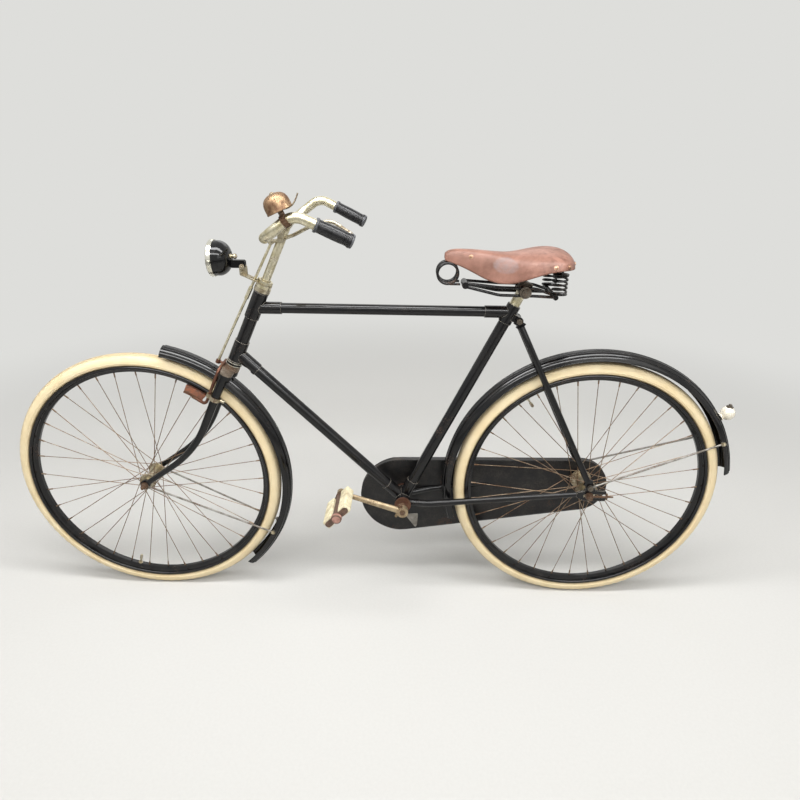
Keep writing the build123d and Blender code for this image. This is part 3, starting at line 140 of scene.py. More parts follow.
bicycle_middle = 0.3
ground = cad_box[0][2]
reach = 9.0
floor_mesh = bpy.data.meshes.new("floor")
floor_mesh.from_pydata([(-reach, -reach, 0), (reach, -reach, 0), (reach, reach, 0), (-reach, reach, 0)], [],
                       [(0, 1, 2, 3)])
floor_mesh.materials.append(paper)
floor = bpy.data.objects.new("floor", floor_mesh)
floor.location = (bicycle_middle, 0, ground)
scene.collection.objects.link(floor)

aim = Vector((bicycle_middle, 0.0, -0.4))
for name, width, depth, power, where in (
    ("upper_line", 3.4, 0.42, 62.0, (bicycle_middle, 0.5, 1.5)),
    ("lower_line", 3.4, 0.28, 34.0, (bicycle_middle, 1.7, 1.2)),
    ("left_panel", 2.4, 1.8, 16.0, (-1.4, 2.5, 1.3)),
    ("right_panel", 2.2, 1.6, 8.0, (2.3, 1.2, 1.5)),
    ("back_panel", 2.4, 1.2, 10.0, (bicycle_middle, -2.4, 1.5)),
):
    panel = bpy.data.lights.new(name, "AREA")
    panel.shape = "RECTANGLE"
    panel.size = width
    panel.size_y = depth
    panel.energy = power
    light = bpy.data.objects.new(name, panel)
    light.location = where
    light.rotation_euler = (aim - Vector(where)).to_track_quat("-Z", "Y").to_euler()
    scene.collection.objects.link(light)


# Frame: steel tubes brazed into lugs, dipped and stoved in black enamel. It is old: glossy where
# hands wipe it, dull with dust on what faces up, and chipped down to brown rust, most of all on
# the edges of lugs and plates. Along the lugs' edges a pale line is painted, partly rubbed through
# to bare steel and partly a painted highlight.
def enamel(name, dust, chips, gloss, edge_wear_and_highlight=0.0):
    """Stoved black enamel: dust, chips, roughness, and how pale its edges are painted, as wear and painted
    highlight.
    """
    material, tree = empty_material(name)
    place = add(tree, "ShaderNodeTexCoord").outputs["Object"]
    normal = add(tree, "ShaderNodeNewGeometry").outputs["Normal"]

    # Dust lies in patches 36 mm apart, thicker on what faces up and broken by 3 mm specks.
    facing = add(tree, "ShaderNodeSeparateXYZ", {0: normal})
    patches = add(tree, "ShaderNodeTexNoise", {
        "Vector": place, "Scale": spaced(35.71), "Detail": 7.0, "Roughness": 0.62,
    })
    film = add(tree, "ShaderNodeMapRange", {
        "Value": patches.outputs[0], "From Min": 0.42, "From Max": 0.74,
    })
    upward = add(tree, "ShaderNodeMapRange", {
        "Value": facing.outputs["Z"], "From Min": -0.2, "From Max": 0.9, "To Min": 0.25, "To Max": 1.0,
    })
    film = add(tree, "ShaderNodeMath", {0: film.outputs[0], 1: upward.outputs[0]}, operation="MULTIPLY")
    film = add(tree, "ShaderNodeMath", {0: film.outputs[0], 1: dust}, operation="MULTIPLY")
    spots = add(tree, "ShaderNodeTexNoise", {
        "Vector": place, "Scale": spaced(3.03), "Detail": 3.0, "Roughness": 0.7,
    })
    speck = add(tree, "ShaderNodeMapRange", {
        "Value": spots.outputs[0], "From Min": 0.4, "From Max": 0.62, "To Min": 0.3, "To Max": 1.5,
    })
    film = add(tree, "ShaderNodeMath", {0: film.outputs[0], 1: speck.outputs[0]}, operation="MULTIPLY")
    dusty = add(tree, "ShaderNodeMix", {0: film.outputs[0], 6: tone("#08080a"), 7: tone("#48423c")},
                data_type="RGBA")

    # Chips are 3 mm marks that gather in places 59 mm apart, down to brown rust.
    where = add(tree, "ShaderNodeTexNoise", {"Vector": place, "Scale": spaced(58.82), "Detail": 4.0})
    chance = add(tree, "ShaderNodeMath", {0: spots.outputs[0], 1: where.outputs[0]}, operation="MULTIPLY")
    chip = add(tree, "ShaderNodeMapRange", {
        "Value": chance.outputs[0], "From Min": 0.42 - 0.1 * chips, "From Max": 0.46 - 0.1 * chips,
    })
    colour = add(tree, "ShaderNodeMix", {0: chip.outputs[0], 6: dusty.outputs[2], 7: tone("#4b382d")},
                 data_type="RGBA")

    # Within 1.4 mm of an edge the rounded normal leaves the real one, and there a pale line is painted:
    # partly enamel rubbed through to bare steel, partly a painted highlight along the edge.
    if edge_wear_and_highlight:
        rounded = add(tree, "ShaderNodeBevel", {"Radius": 0.0014}, samples=4)
        bend = add(tree, "ShaderNodeVectorMath", {0: normal, 1: rounded.outputs[0]}, operation="DISTANCE")
        bend = add(tree, "ShaderNodeMath", {0: bend.outputs["Value"], 1: where.outputs[0]},
                   operation="MULTIPLY")
        rub_and_highlight = add(tree, "ShaderNodeMapRange", {
            "Value": bend.outputs[0], "From Min": 0.08, "From Max": 0.2, "To Max": edge_wear_and_highlight,
        })
        colour = add(tree, "ShaderNodeMix", {0: rub_and_highlight.outputs[0], 6: colour.outputs[2], 7: tone("#b4aca0")},
                     data_type="RGBA")

    # The enamel's orange peel is drawn 6 mm apart, coarser than the real millimetre, so that it shows.
    dull = add(tree, "ShaderNodeMapRange", {
        "Value": film.outputs[0], "To Min": gloss, "To Max": gloss + 0.4,
    })
    dull = add(tree, "ShaderNodeMath", {0: chip.outputs[0], 1: 0.6, 2: dull.outputs[0]},
               operation="MULTIPLY_ADD", use_clamp=True)
    peel = add(tree, "ShaderNodeTexNoise", {"Vector": place, "Scale": spaced(6.25), "Detail": 3.0})
    height = add(tree, "ShaderNodeMath", {0: chip.outputs[0], 1: -0.6, 2: peel.outputs[0]},
                 operation="MULTIPLY_ADD")
    relief = add(tree, "ShaderNodeBump", {
        "Height": height.outputs[0], "Strength": 0.16, "Distance": 0.0003,
    })
    shader = add(tree, "ShaderNodeBsdfPrincipled", {
        "Base Color": colour.outputs[2], "Roughness": dull.outputs[0], "IOR": 1.45,
        "Normal": relief.outputs[0],
    })
    add(tree, "ShaderNodeOutputMaterial", {"Surface": shader.outputs[0]})
    return material


def finish(material, *names):
    """Gives CAD nodes that keep their shape their real finish."""
    for name in names:
        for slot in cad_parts[name].material_slots:
            slot.material = material


frame_enamel = enamel("stoved black enamel", dust=0.22, chips=0.3, gloss=0.11)
finish(frame_enamel, "head_tube", "top_tube", "down_tube", "seat_tube", "chain_stay_left",
       "chain_stay_right", "seat_stay_left", "seat_stay_right", "fork_blade_left", "fork_blade_right")
# The lugs' edges get the pale painted line, partly wear and partly painted highlight.
lug_enamel = enamel("chipped lug enamel", dust=0.35, chips=0.45, gloss=0.15, edge_wear_and_highlight=0.8)
finish(lug_enamel, "frame_lugs", "bottom_bracket_shell", "rear_dropouts")

# Mudguards: rolled from thin sheet with a rib along the crown, beaded edges and two narrow flutes
# raised along each side, which draw bright lines. Stoved black, with road dust along the crown.
guard_enamel = enamel("sheet enamel", dust=0.22, chips=0.35, gloss=0.11)
finish(guard_enamel, "front_mudguard", "rear_mudguard")
wheelbase = 1178.0
axle_height = 354.0
rider_ahead = 190.0
rider_height = 985.0


def bicycle(ahead, left, above):
    """A place in metres, from millimetres ahead of the rear axle, to the left and above the ground."""
    return Vector((ahead - rider_ahead, left, above - rider_height)) / 1000


def bent(name, runs, radius, material, body, closed=False):
    """Round wire of a radius in millimetres, bent along runs of places in metres, on a CAD body."""
    line = bpy.data.curves.new(name, "CURVE")
    line.dimensions = "3D"
    line.bevel_depth = radius / 1000
    line.bevel_resolution = 3
    line.use_fill_caps = not closed
    for points in runs:
        run = line.splines.new("NURBS")
        run.points.add(len(points) - 1)
        for point, where in zip(run.points, points):
            point.co = (*where, 1.0)
        run.order_u = 3
        run.resolution_u = 3
        run.use_cyclic_u = closed
        run.use_endpoint_u = not closed
    line.materials.append(material)
    wire = bpy.data.objects.new(name, line)
    scene.collection.objects.link(wire)
    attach(wire, body)


guard_circle = 358.6
guard_round = 25.2
flute_radius = 1.7
flute_steps = 48
for name, ahead, first, last, body in (
    ("front_flutes", wheelbase, 102.8, 226.5, "steering"),
    ("rear_flutes", 0.0, -16.2, 171.5, "frame"),
):
    turns = [math.radians(first + (last - first) * step / flute_steps) for step in range(flute_steps + 1)]
    flutes = []
    for slant in (-48.0, -25.0, 25.0, 48.0):
        out = guard_circle + guard_round * math.cos(math.radians(slant))
        left = guard_round * math.sin(math.radians(slant))
        flutes.append([
            bicycle(ahead + out * math.cos(turn), left, axle_height + out * math.sin(turn))
            for turn in turns
        ])
    bent(name, flutes, flute_radius, guard_enamel, body)

# Chain case: pressed sheet round the whole chain, enamelled black. It sits in the road dirt, so it
# is dull all over, mottled brown and grey, with more chips than the frame.
case_enamel = enamel("dull case enamel", dust=1.0, chips=0.6, gloss=0.34)
finish(case_enamel, "chain_case")

# The case's halves meet in a rolled seam along both faces' edges, round the chain ring's circle and
# the sprocket's circle and along the two straight sides between them.
ring_ahead, ring_above, ring_radius = 492.0, 282.5, 115.5
sprocket_ahead, sprocket_above, sprocket_radius = 2.0, 326.0, 79.0
seam_radius = 1.6
seam_steps = 24
between = math.atan2(ring_above - sprocket_above, ring_ahead - sprocket_ahead)
apart = math.hypot(ring_ahead - sprocket_ahead, ring_above - sprocket_above)
tangent = math.acos((ring_radius - sprocket_radius) / apart)
for name, left in (("case_seam_inner", -38.6), ("case_seam_outer", -53.0)):
    seam = []
    for ahead, above, radius, first, last in (
        (ring_ahead, ring_above, ring_radius, between - tangent, between + tangent),
        (sprocket_ahead, sprocket_above, sprocket_radius,
         between + tangent, between + 2 * math.pi - tangent),
    ):
        for step in range(seam_steps + 1):
            turn = first + (last - first) * step / seam_steps
            seam.append(bicycle(ahead + radius * math.cos(turn), left, above + radius * math.sin(turn)))
    bent(name, [seam], seam_radius, case_enamel, "frame", closed=True)


# Bright metal: bars, stem, cranks and small fittings are nickel plated steel, polished once, now
# creamy with an olive tarnish and speckled where rust comes through. Axles, stays, spokes and the
# saddle's clamp have lost most of their plate and look brown and grey.
def nickel(name, bright, tarnish, worn, rust):
    """Old nickel plate: its clean and tarnished colours, its roughness and how much rust shows."""
    material, tree = empty_material(name)
    place = add(tree, "ShaderNodeTexCoord").outputs["Object"]

    # Tarnish lies in clouds 22 mm apart. Rust pits gather in places 42 mm apart, and are drawn
    # 2.4 mm apart, coarser than the real ones, so that they show.
    clouds = add(tree, "ShaderNodeTexNoise", {
        "Vector": place, "Scale": spaced(21.74), "Detail": 8.0, "Roughness": 0.66,
    })
    cloud = add(tree, "ShaderNodeMapRange", {
        "Value": clouds.outputs[0], "From Min": 0.38, "From Max": 0.68,
    })
    plate = add(tree, "ShaderNodeMix", {0: cloud.outputs[0], 6: tone(bright), 7: tone(tarnish)},
                data_type="RGBA")
    pits = add(tree, "ShaderNodeTexNoise", {
        "Vector": place, "Scale": spaced(2.381), "Detail": 4.0, "Roughness": 0.7,
    })
    where = add(tree, "ShaderNodeTexNoise", {"Vector": place, "Scale": spaced(41.67), "Detail": 3.0})
    pits = add(tree, "ShaderNodeMath", {0: pits.outputs[0], 1: where.outputs[0]}, operation="MULTIPLY")
    pit = add(tree, "ShaderNodeMapRange", {
        "Value": pits.outputs[0], "From Min": 0.40 - 0.14 * rust, "From Max": 0.46 - 0.14 * rust,
    })
    colour = add(tree, "ShaderNodeMix", {0: pit.outputs[0], 6: plate.outputs[2], 7: tone("#644a36")},
                 data_type="RGBA")

    # Rust is rough and hardly metallic, tarnish is only rougher.
    bare = add(tree, "ShaderNodeMapRange", {"Value": pit.outputs[0], "To Min": 1.0, "To Max": 0.25})
    rough = add(tree, "ShaderNodeMapRange", {
        "Value": cloud.outputs[0], "To Min": worn, "To Max": worn + 0.22,
    })
    rough = add(tree, "ShaderNodeMath", {0: pit.outputs[0], 1: 0.4, 2: rough.outputs[0]},
                operation="MULTIPLY_ADD", use_clamp=True)
    height = add(tree, "ShaderNodeMath", {0: pit.outputs[0], 1: -0.8, 2: clouds.outputs[0]},
                 operation="MULTIPLY_ADD")
    relief = add(tree, "ShaderNodeBump", {
        "Height": height.outputs[0], "Strength": 0.05, "Distance": 0.0003,
    })
    shader = add(tree, "ShaderNodeBsdfPrincipled", {
        "Base Color": colour.outputs[2], "Metallic": bare.outputs[0], "Roughness": rough.outputs[0],
        "Normal": relief.outputs[0],
    })
    add(tree, "ShaderNodeOutputMaterial", {"Surface": shader.outputs[0]})
    return material


bar_nickel = nickel("creamy nickel plate", "#e6dfc8", "#aca27c", worn=0.26, rust=0.2)
finish(bar_nickel, "stem", "handlebar", "headset_nuts", "seat_post", "brake_rod")
small_nickel = nickel("worn nickel plate", "#c9c1ab", "#83765c", worn=0.32, rust=0.8)
finish(small_nickel, "brake_clips", "brake_lever", "lamp_bracket", "front_hub", "rear_hub")
crank_nickel = nickel("dull crank nickel", "#c2b092", "#8c7a60", worn=0.45, rust=0.7)
finish(crank_nickel, "crank_left", "crank_right")
axle_steel = nickel("rusty steel", "#85776a", "#65493a", worn=0.5, rust=1.1)
finish(axle_steel, "front_axle", "rear_axle", "crank_axle", "bell_base")
dull_steel = nickel("dull dark steel", "#7d766c", "#4d443b", worn=0.45, rust=0.6)
finish(dull_steel, "saddle_clamp", "frame_bolts")
bright_plate = nickel("bright rim plate", "#f1efe6", "#cfcbb8", worn=0.14, rust=0.1)
red_rust = nickel("red brown cup steel", "#7d5a4b", "#5f4034", worn=0.5, rust=0.9)
finish(red_rust, "bottom_bracket_cups", "brake_stirrup")
stay_wire = nickel("grey stay wire", "#9b9892", "#6a645c", worn=0.4, rust=0.7)
finish(stay_wire, "front_mudguard_stays", "rear_mudguard_stays")
spoke_zinc = nickel("rusty zinc wire", "#a08f7a", "#7a5c45", worn=0.45, rust=0.9)
finish(spoke_zinc, "front_spokes", "rear_spokes")

# Small fasteners: turned and cold headed steel, nickel plated, and rusted at the cotters. Each sits
# face to face on what it holds: nuts on the bolts of the mudguard stays, the lamp, the crown and
# the stem, and on the cotters.
steering_angle = math.radians(65.5)
fork_rake = 96.0
steer_foot = bicycle(wheelbase - fork_rake / math.sin(steering_angle), 0.0, axle_height)
steer_ahead = Vector((math.sin(steering_angle), 0, math.cos(steering_angle)))
steer_up = Vector((-math.cos(steering_angle), 0, math.sin(steering_angle)))


def steered(ahead, left, along):
    """A place ahead of the steering axis, left of it and along it from the height of the axles."""
    return steer_foot + (steer_ahead * ahead + Vector((0, left, 0)) + steer_up * along) / 1000


def turned(mesh, profile, place, axis, steps=32):
    """Turns radii and heights in millimetres about an axis at a place, into the mesh."""
    axis = Vector(axis).normalized()
    across = axis.orthogonal().normalized()
    around = axis.cross(across)
    rings = []
    for radius, height in profile:
        middle = Vector(place) + axis * height / 1000
        turns = [2 * math.pi * step / steps for step in range(steps if radius else 1)]
        rings.append([
            mesh.verts.new(middle + (across * math.cos(turn) + around * math.sin(turn)) * radius / 1000)
            for turn in turns
        ])
    for near, far in zip(rings, rings[1:]):
        for step in range(steps):
            corners = [near[step % len(near)], near[(step + 1) % len(near)], far[(step + 1) % len(far)],
                       far[step % len(far)]]
            corners = list(dict.fromkeys(corners))
            if len(corners) > 2:
                mesh.faces.new(corners)


def fit(name, mesh, material, body, slot, *replaced, crease=35.0):
    """Makes the mesh an object that rides on a CAD body, in place of the CAD nodes that are named."""
    data = bpy.data.meshes.new(name)
    mesh.to_mesh(data)
    mesh.free()
    for face in data.polygons:
        face.use_smooth = True
    data.set_sharp_from_angle(angle=math.radians(crease))
    data.materials.append(material)
    piece = bpy.data.objects.new(name, data)
    scene.collection.objects.link(piece)
    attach(piece, body)
    if replaced:
        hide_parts(*replaced)


def nut(mesh, place, axis, radius, height, bolt):
    """A hexagon nut on its washer, with the bolt's end through it."""
    washer = 0.8
    washer_radius = radius * 1.3
    chamfer = 0.7
    bolt_end = height + 2.2
    turned(mesh, ((0, 0), (washer_radius, 0), (washer_radius, washer), (0, washer)), place, axis)
    turned(mesh, ((0, washer), (radius, washer), (radius, height - chamfer), (radius * 0.88, height),
                  (0, height)), place, axis, steps=6)
    turned(mesh, ((bolt, height - 1), (bolt, bolt_end - 0.6), (bolt * 0.7, bolt_end), (0, bolt_end)),
           place, axis, steps=16)


def stay_nut(mesh, ahead, angle, side):
    """The nut on a mudguard stay's bolt, at an angle round the wheel whose axle is so far ahead."""
    bolt_circle = 363.0
    bolt_left = 34.1
    turn = math.radians(angle)
    place = bicycle(ahead + bolt_circle * math.cos(turn), side * bolt_left,
                    axle_height + bolt_circle * math.sin(turn))
    nut(mesh, place, (0, side, 0), radius=4.6, height=3.6, bolt=2.4)


stay_nuts = bmesh.new()
for side in (1, -1):
    stay_nut(stay_nuts, 0.0, 156.3, side)
fit("rear_stay_nuts", stay_nuts, small_nickel, "frame", "nickel")

lamp_bolt_ahead, lamp_bolt_end, lamp_bolt_above = 878.0, 6.4, 929.5
crown_bolt_end = steered(18.6, 0, 342)
stem_top = steered(0, 0, 752.4)
steering_nuts = bmesh.new()
for side in (1, -1):
    stay_nut(steering_nuts, wheelbase, 205.5, side)
    nut(steering_nuts, bicycle(lamp_bolt_ahead, side * lamp_bolt_end, lamp_bolt_above), (0, side, 0),
        radius=4.8, height=3.8, bolt=2.5)
nut(steering_nuts, crown_bolt_end, steer_ahead, radius=5.2, height=4.0, bolt=2.6)
nut(steering_nuts, stem_top, steer_up, radius=7.4, height=6.0, bolt=0.5)
fit("steering_nuts", steering_nuts, small_nickel, "steering", "nickel")

bracket_ahead = 490.0
bracket_above = 300.0
crank_rise = math.radians(18.0)
crank_plane = 69.0
cotter_out = 11.6
cotter_rise = 14.2
cotter_nuts = bmesh.new()
for side in (1, -1):
    arm = Vector((math.cos(crank_rise), 0, math.sin(crank_rise))) * side
    across_arm = Vector((-math.sin(crank_rise), 0, math.cos(crank_rise)))
    axle_end = bicycle(bracket_ahead, side * crank_plane, bracket_above)
    cotter_end = axle_end + (arm * cotter_out + across_arm * cotter_rise) / 1000
    nut(cotter_nuts, cotter_end, across_arm, radius=5.4, height=4.0, bolt=2.9)
fit("cotter_nuts", cotter_nuts, axle_steel, "crank", "steel")

# Fork crown and headset cups: nickel plate, with black enamel brushed over the lower half of the
# crown and over the lower cup. The crown's plate has gone brown, and the lower cup's two rings are
# turned bright.
ring_profile = ((19.4, -0.9), (20.1, -0.7), (20.1, 0.7), (19.4, 0.9))
cup_rings = bmesh.new()
for along in (363.2, 370.9):
    turned(cup_rings, ring_profile, steered(0, 0, along), steer_up, steps=40)
fit("cup_rings", cup_rings, bright_plate, "frame", "nickel")


def brushed(material, line):
    """Black enamel over what lies below a line, in millimetres along the steering axis."""
    tree = material.node_tree
    plate = tree.nodes["Principled BSDF"]
    place = add(tree, "ShaderNodeTexCoord").outputs["Object"]
    along = add(tree, "ShaderNodeVectorMath", {0: place, 1: steer_foot}, operation="SUBTRACT")
    along = add(tree, "ShaderNodeVectorMath", {0: along.outputs[0], 1: steer_up}, operation="DOT_PRODUCT")

    # The brush left the line ragged by up to 3 mm, in waves 4 mm apart.
    ragged = add(tree, "ShaderNodeTexNoise", {"Vector": place, "Scale": spaced(3.846), "Detail": 3.0})
    ragged = add(tree, "ShaderNodeMath", {0: ragged.outputs[0], 1: 0.003, 2: along.outputs["Value"]},
                 operation="MULTIPLY_ADD")
    bare = add(tree, "ShaderNodeMapRange", {
        "Value": ragged.outputs[0], "From Min": line / 1000, "From Max": (line + 1) / 1000,
    })
    paint = add(tree, "ShaderNodeBsdfPrincipled", {
        "Base Color": tone("#0a0a0b"), "Roughness": 0.2, "IOR": 1.45,
    })
    both = add(tree, "ShaderNodeMixShader", {0: bare.outputs[0], 1: paint.outputs[0], 2: plate.outputs[0]})
    tree.links.new(both.outputs[0], tree.nodes["Material Output"].inputs["Surface"])
    return material


crown_line = 347.0
cup_line = 470.0
crown_plate = nickel("brown crown plate", "#a69a8c", "#6b5c50", worn=0.4, rust=0.9)
finish(brushed(crown_plate, crown_line), "fork_crown")
cup_plate = nickel("worn cup plate", "#c9c1ab", "#83765c", worn=0.32, rust=0.8)
finish(brushed(cup_plate, cup_line), "headset_cups")


# Stay strap: a black strap hangs below the left chain stay just behind the bracket, and a pale
# galvanised tab hangs beside it. Both are cut from thin sheet with their corners clipped.
def plate(name, corners, left, thickness, material, slot):
    """Flat sheet cut along corners given as millimetres ahead of the rear axle and above the ground."""
    mesh = bmesh.new()
    faces = []
    for side in (left + thickness / 2, left - thickness / 2):
        faces.append([mesh.verts.new(bicycle(ahead, side, above)) for ahead, above in corners])
    mesh.faces.new(faces[0])
    mesh.faces.new(faces[1][::-1])
    for step in range(len(corners)):
        after = (step + 1) % len(corners)
        mesh.faces.new((faces[0][after], faces[0][step], faces[1][step], faces[1][after]))
    bmesh.ops.recalc_face_normals(mesh, faces=mesh.faces)
    fit(name, mesh, material, "frame", slot)


strap_corners = ((479, 292), (453, 292), (451, 262), (453, 258), (478, 256), (481, 260))
tab_corners = ((482.5, 262), (481, 265), (450, 268), (448, 265), (449.5, 232), (453, 224), (456, 225))
plate("stay_strap", strap_corners, 26.0, 2.4, frame_enamel, "frame_enamel")
plate("stay_tab", tab_corners, 28.1, 1.5, stay_wire, "steel")

# Wheels: black enamelled rims rolled with a round bead on each edge. Each has a nickel plated brass
# valve stem, screwed through the rim, with its ring nut and dust cap.
rim_enamel = enamel("rim enamel", dust=0.3, chips=0.45, gloss=0.13)
finish(rim_enamel, "front_rim", "rear_rim")
rim_floor = 305.8
valve_profile = ((0, 0), (6.2, 0), (6.2, 2.4), (5.4, 3.0), (2.6, 3.0), (2.6, 16.0), (3.9, 16.0),
                 (3.9, 26.0), (3.0, 28.5), (0, 28.8))
for name, ahead, angle in (("front", wheelbase, 285.0), ("rear", 0.0, 55.0)):
    outward = Vector((math.cos(math.radians(angle)), 0, math.sin(math.radians(angle))))
    valve_foot = bicycle(ahead, 0, axle_height) + outward * rim_floor / 1000
    valve = bmesh.new()
    turned(valve, valve_profile, valve_foot, -outward, steps=20)
    fit(f"{name}_valve", valve, small_nickel, f"{name}_wheel", "nickel")

# Tyres: cream rubber moulded over cotton, clean on the sides and grey where they meet the road. The
# sidewall has raised rings, and the tread has five ribs with cuts across its shoulders.
tyre_round = 19.5
tyre_circle = axle_height - tyre_round
tyre_columns = 300
tread_cut = 1.1
foot_outer, foot_inner, foot_left = 323.6, 316.9, 10.9
# Half of the section, from the rim to the crown: degrees round from the crown, millimetres above the
# plain round, and whether every third column is cut there.
half_section = (
    (118, -0.4, 0), (115, -0.3, 0), (112, 0, 0), (109, 0, 0), (106, -0.6, 0), (99, -0.6, 0), (97, -0.1, 0),
    (95, -0.1, 0), (93, -0.6, 0), (84, -0.6, 0), (74, -0.6, 0), (64, -0.5, 0), (56, -0.4, 0), (51, 0, 1),
    (46, 0, 1), (40, 0, 1), (34, 0, 1), (32.5, -1, 0), (29.5, -1, 0), (28, 0, 0), (21, 0, 0), (19.5, -1, 0),
    (16.5, -1, 0), (15, 0, 0), (8, 0, 0), (6.5, -1, 0), (3.5, -1, 0), (2, 0, 0),
)
section = [(math.radians(turn), lift, cut) for turn, lift, cut in half_section]
section += [(-turn, lift, cut) for turn, lift, cut in reversed(section)]
for name, ahead in (("front", wheelbase), ("rear", 0.0)):
    rubber, tree = empty_material(f"{name} cream rubber")
    hub = bicycle(ahead, 0, axle_height)
    place = add(tree, "ShaderNodeTexCoord").outputs["Object"]
    from_hub = add(tree, "ShaderNodeVectorMath", {0: place, 1: hub}, operation="SUBTRACT")
    parts = add(tree, "ShaderNodeSeparateXYZ", {0: from_hub.outputs[0]})
    flat = add(tree, "ShaderNodeCombineXYZ", {"X": parts.outputs["X"], "Y": parts.outputs["Z"]})
    radius = add(tree, "ShaderNodeVectorMath", {0: flat.outputs[0]}, operation="LENGTH")

    # The cream yellows in patches 45 mm apart. Road grime covers the last 8 mm of the tread in 4 mm
    # specks, and brown dirt from the rim the first 6 mm of the sidewall.
    patches = add(tree, "ShaderNodeTexNoise", {
        "Vector": place, "Scale": spaced(45.45), "Detail": 6.0, "Roughness": 0.6,
    })
    clean = add(tree, "ShaderNodeMix", {0: patches.outputs[0], 6: tone("#f2e4c3"), 7: tone("#e0c795")},
                data_type="RGBA")
    tread = add(tree, "ShaderNodeMapRange", {
        "Value": radius.outputs["Value"], "From Min": 0.346, "From Max": 0.3535,
    })
    specks = add(tree, "ShaderNodeTexNoise", {
        "Vector": place, "Scale": spaced(3.846), "Detail": 4.0, "Roughness": 0.75,
    })
    grime = add(tree, "ShaderNodeMath", {0: tread.outputs[0], 1: specks.outputs[0]}, operation="MULTIPLY")
    worn = add(tree, "ShaderNodeMix", {0: grime.outputs[0], 6: clean.outputs[2], 7: tone("#87785f")},
               data_type="RGBA")
    by_rim = add(tree, "ShaderNodeMapRange", {
        "Value": radius.outputs["Value"], "From Min": 0.331, "From Max": 0.325,
    })
    dirt = add(tree, "ShaderNodeMath", {0: by_rim.outputs[0], 1: patches.outputs[0]}, operation="MULTIPLY")
    colour = add(tree, "ShaderNodeMix", {0: dirt.outputs[0], 6: worn.outputs[2], 7: tone("#9c8258")},
                 data_type="RGBA")

    # The cotton's threads show through the rubber. A wave repeats every pi / 10 of its pattern's unit.
    thread_pitch = 0.8268
    cloth = add(tree, "ShaderNodeTexWave", {
        "Vector": from_hub.outputs[0], "Scale": spaced(thread_pitch * 10 / math.pi), "Distortion": 1.5,
    })
    height = add(tree, "ShaderNodeMath", {0: cloth.outputs["Fac"], 1: 0.25, 2: specks.outputs[0]},
                 operation="MULTIPLY_ADD")
    relief = add(tree, "ShaderNodeBump", {
        "Height": height.outputs[0], "Strength": 0.25, "Distance": 0.0003,
    })
    shader = add(tree, "ShaderNodeBsdfPrincipled", {
        "Base Color": colour.outputs[2], "Roughness": 0.6, "Normal": relief.outputs[0],
    })
    add(tree, "ShaderNodeOutputMaterial", {"Surface": shader.outputs[0]})

    tyre = bmesh.new()
    loops = []
    for column in range(tyre_columns):
        spin = 2 * math.pi * column / tyre_columns
        out = Vector((math.cos(spin), 0, math.sin(spin)))
        loop = []
        for turn, lift, cut in section:
            deep = tread_cut if cut and column % 3 == 0 else 0.0
            size = tyre_round + lift - deep
            loop.append(tyre.verts.new(hub + (out * (tyre_circle + size * math.cos(turn))
                                              + Vector((0, size * math.sin(turn), 0))) / 1000))
        for foot, left in (
            (foot_outer, -foot_left), (foot_inner, -foot_left),
            (foot_inner, foot_left), (foot_outer, foot_left),
        ):
            loop.append(tyre.verts.new(hub + (out * foot + Vector((0, left, 0))) / 1000))
        loops.append(loop)
    for near, far in zip(loops, loops[1:] + loops[:1]):
        for row in range(len(near)):
            after = (row + 1) % len(near)
            tyre.faces.new((near[row], far[row], far[after], near[after]))
    bmesh.ops.recalc_face_normals(tyre, faces=tyre.faces)
    fit(f"{name}_tyre_rubber", tyre, rubber, f"{name}_wheel", "cream_tyre", f"{name}_tyre", crease=28.0)


# Pedals: two blocks of cream rubber to each, moulded with eleven ridges, on a steel frame. The rubber
# is dull and dirty in patches, and the frame has rusted brown all over, with no metal shine left.
def moulded(name, clean, dirty, rough, patch):
    """Moulded rubber or plastic with its dirt: two colours, its roughness and its patches' distance."""
    material, tree = empty_material(name)
    place = add(tree, "ShaderNodeTexCoord").outputs["Object"]
    patches = add(tree, "ShaderNodeTexNoise", {
        "Vector": place, "Scale": spaced(patch), "Detail": 8.0, "Roughness": 0.68,
    })
    film = add(tree, "ShaderNodeMapRange", {"Value": patches.outputs[0], "From Min": 0.38, "From Max": 0.7})
    colour = add(tree, "ShaderNodeMix", {0: film.outputs[0], 6: tone(clean), 7: tone(dirty)},
                 data_type="RGBA")

    # The mould's grain is drawn 1.1 mm apart, coarser than the real one, so that it shows.
    grain = add(tree, "ShaderNodeTexNoise", {"Vector": place, "Scale": spaced(1.111), "Detail": 2.0})
    height = add(tree, "ShaderNodeMath", {0: grain.outputs[0], 1: patches.outputs[0]}, operation="ADD")
    relief = add(tree, "ShaderNodeBump", {
        "Height": height.outputs[0], "Strength": 0.35, "Distance": 0.0004,
    })
    roughness = add(tree, "ShaderNodeMapRange", {
        "Value": film.outputs[0], "To Min": rough, "To Max": rough + 0.2,
    })
    shader = add(tree, "ShaderNodeBsdfPrincipled", {
        "Base Color": colour.outputs[2], "Roughness": roughness.outputs[0], "Normal": relief.outputs[0],
    })
    add(tree, "ShaderNodeOutputMaterial", {"Surface": shader.outputs[0]})
    return material


def spindle(side, left):
    """A place along a pedal's spindle: the left crank points ahead and up, the right one opposite."""
    crank_length = 170.0
    return bicycle(bracket_ahead + side * crank_length * math.cos(crank_rise), left,
                   bracket_above + side * crank_length * math.sin(crank_rise))


pedal_rubber = moulded("cream pedal rubber", "#efe7c8", "#b5a583", rough=0.7, patch=16.67)
pedal_tilt = math.radians(45.0)
block_ahead = Vector((math.cos(pedal_tilt), 0, -math.sin(pedal_tilt)))
block_up = Vector((math.sin(pedal_tilt), 0, math.cos(pedal_tilt)))
block_offset, block_half_width, block_half_height, block_corner = 26.0, 9.5, 7.5, 4.0
block_start, block_end = 88.4, 178.2
ridge_start, ridge_pitch, ridge_width = 89.6, 8.1, 5.6
groove_depth = 1.3
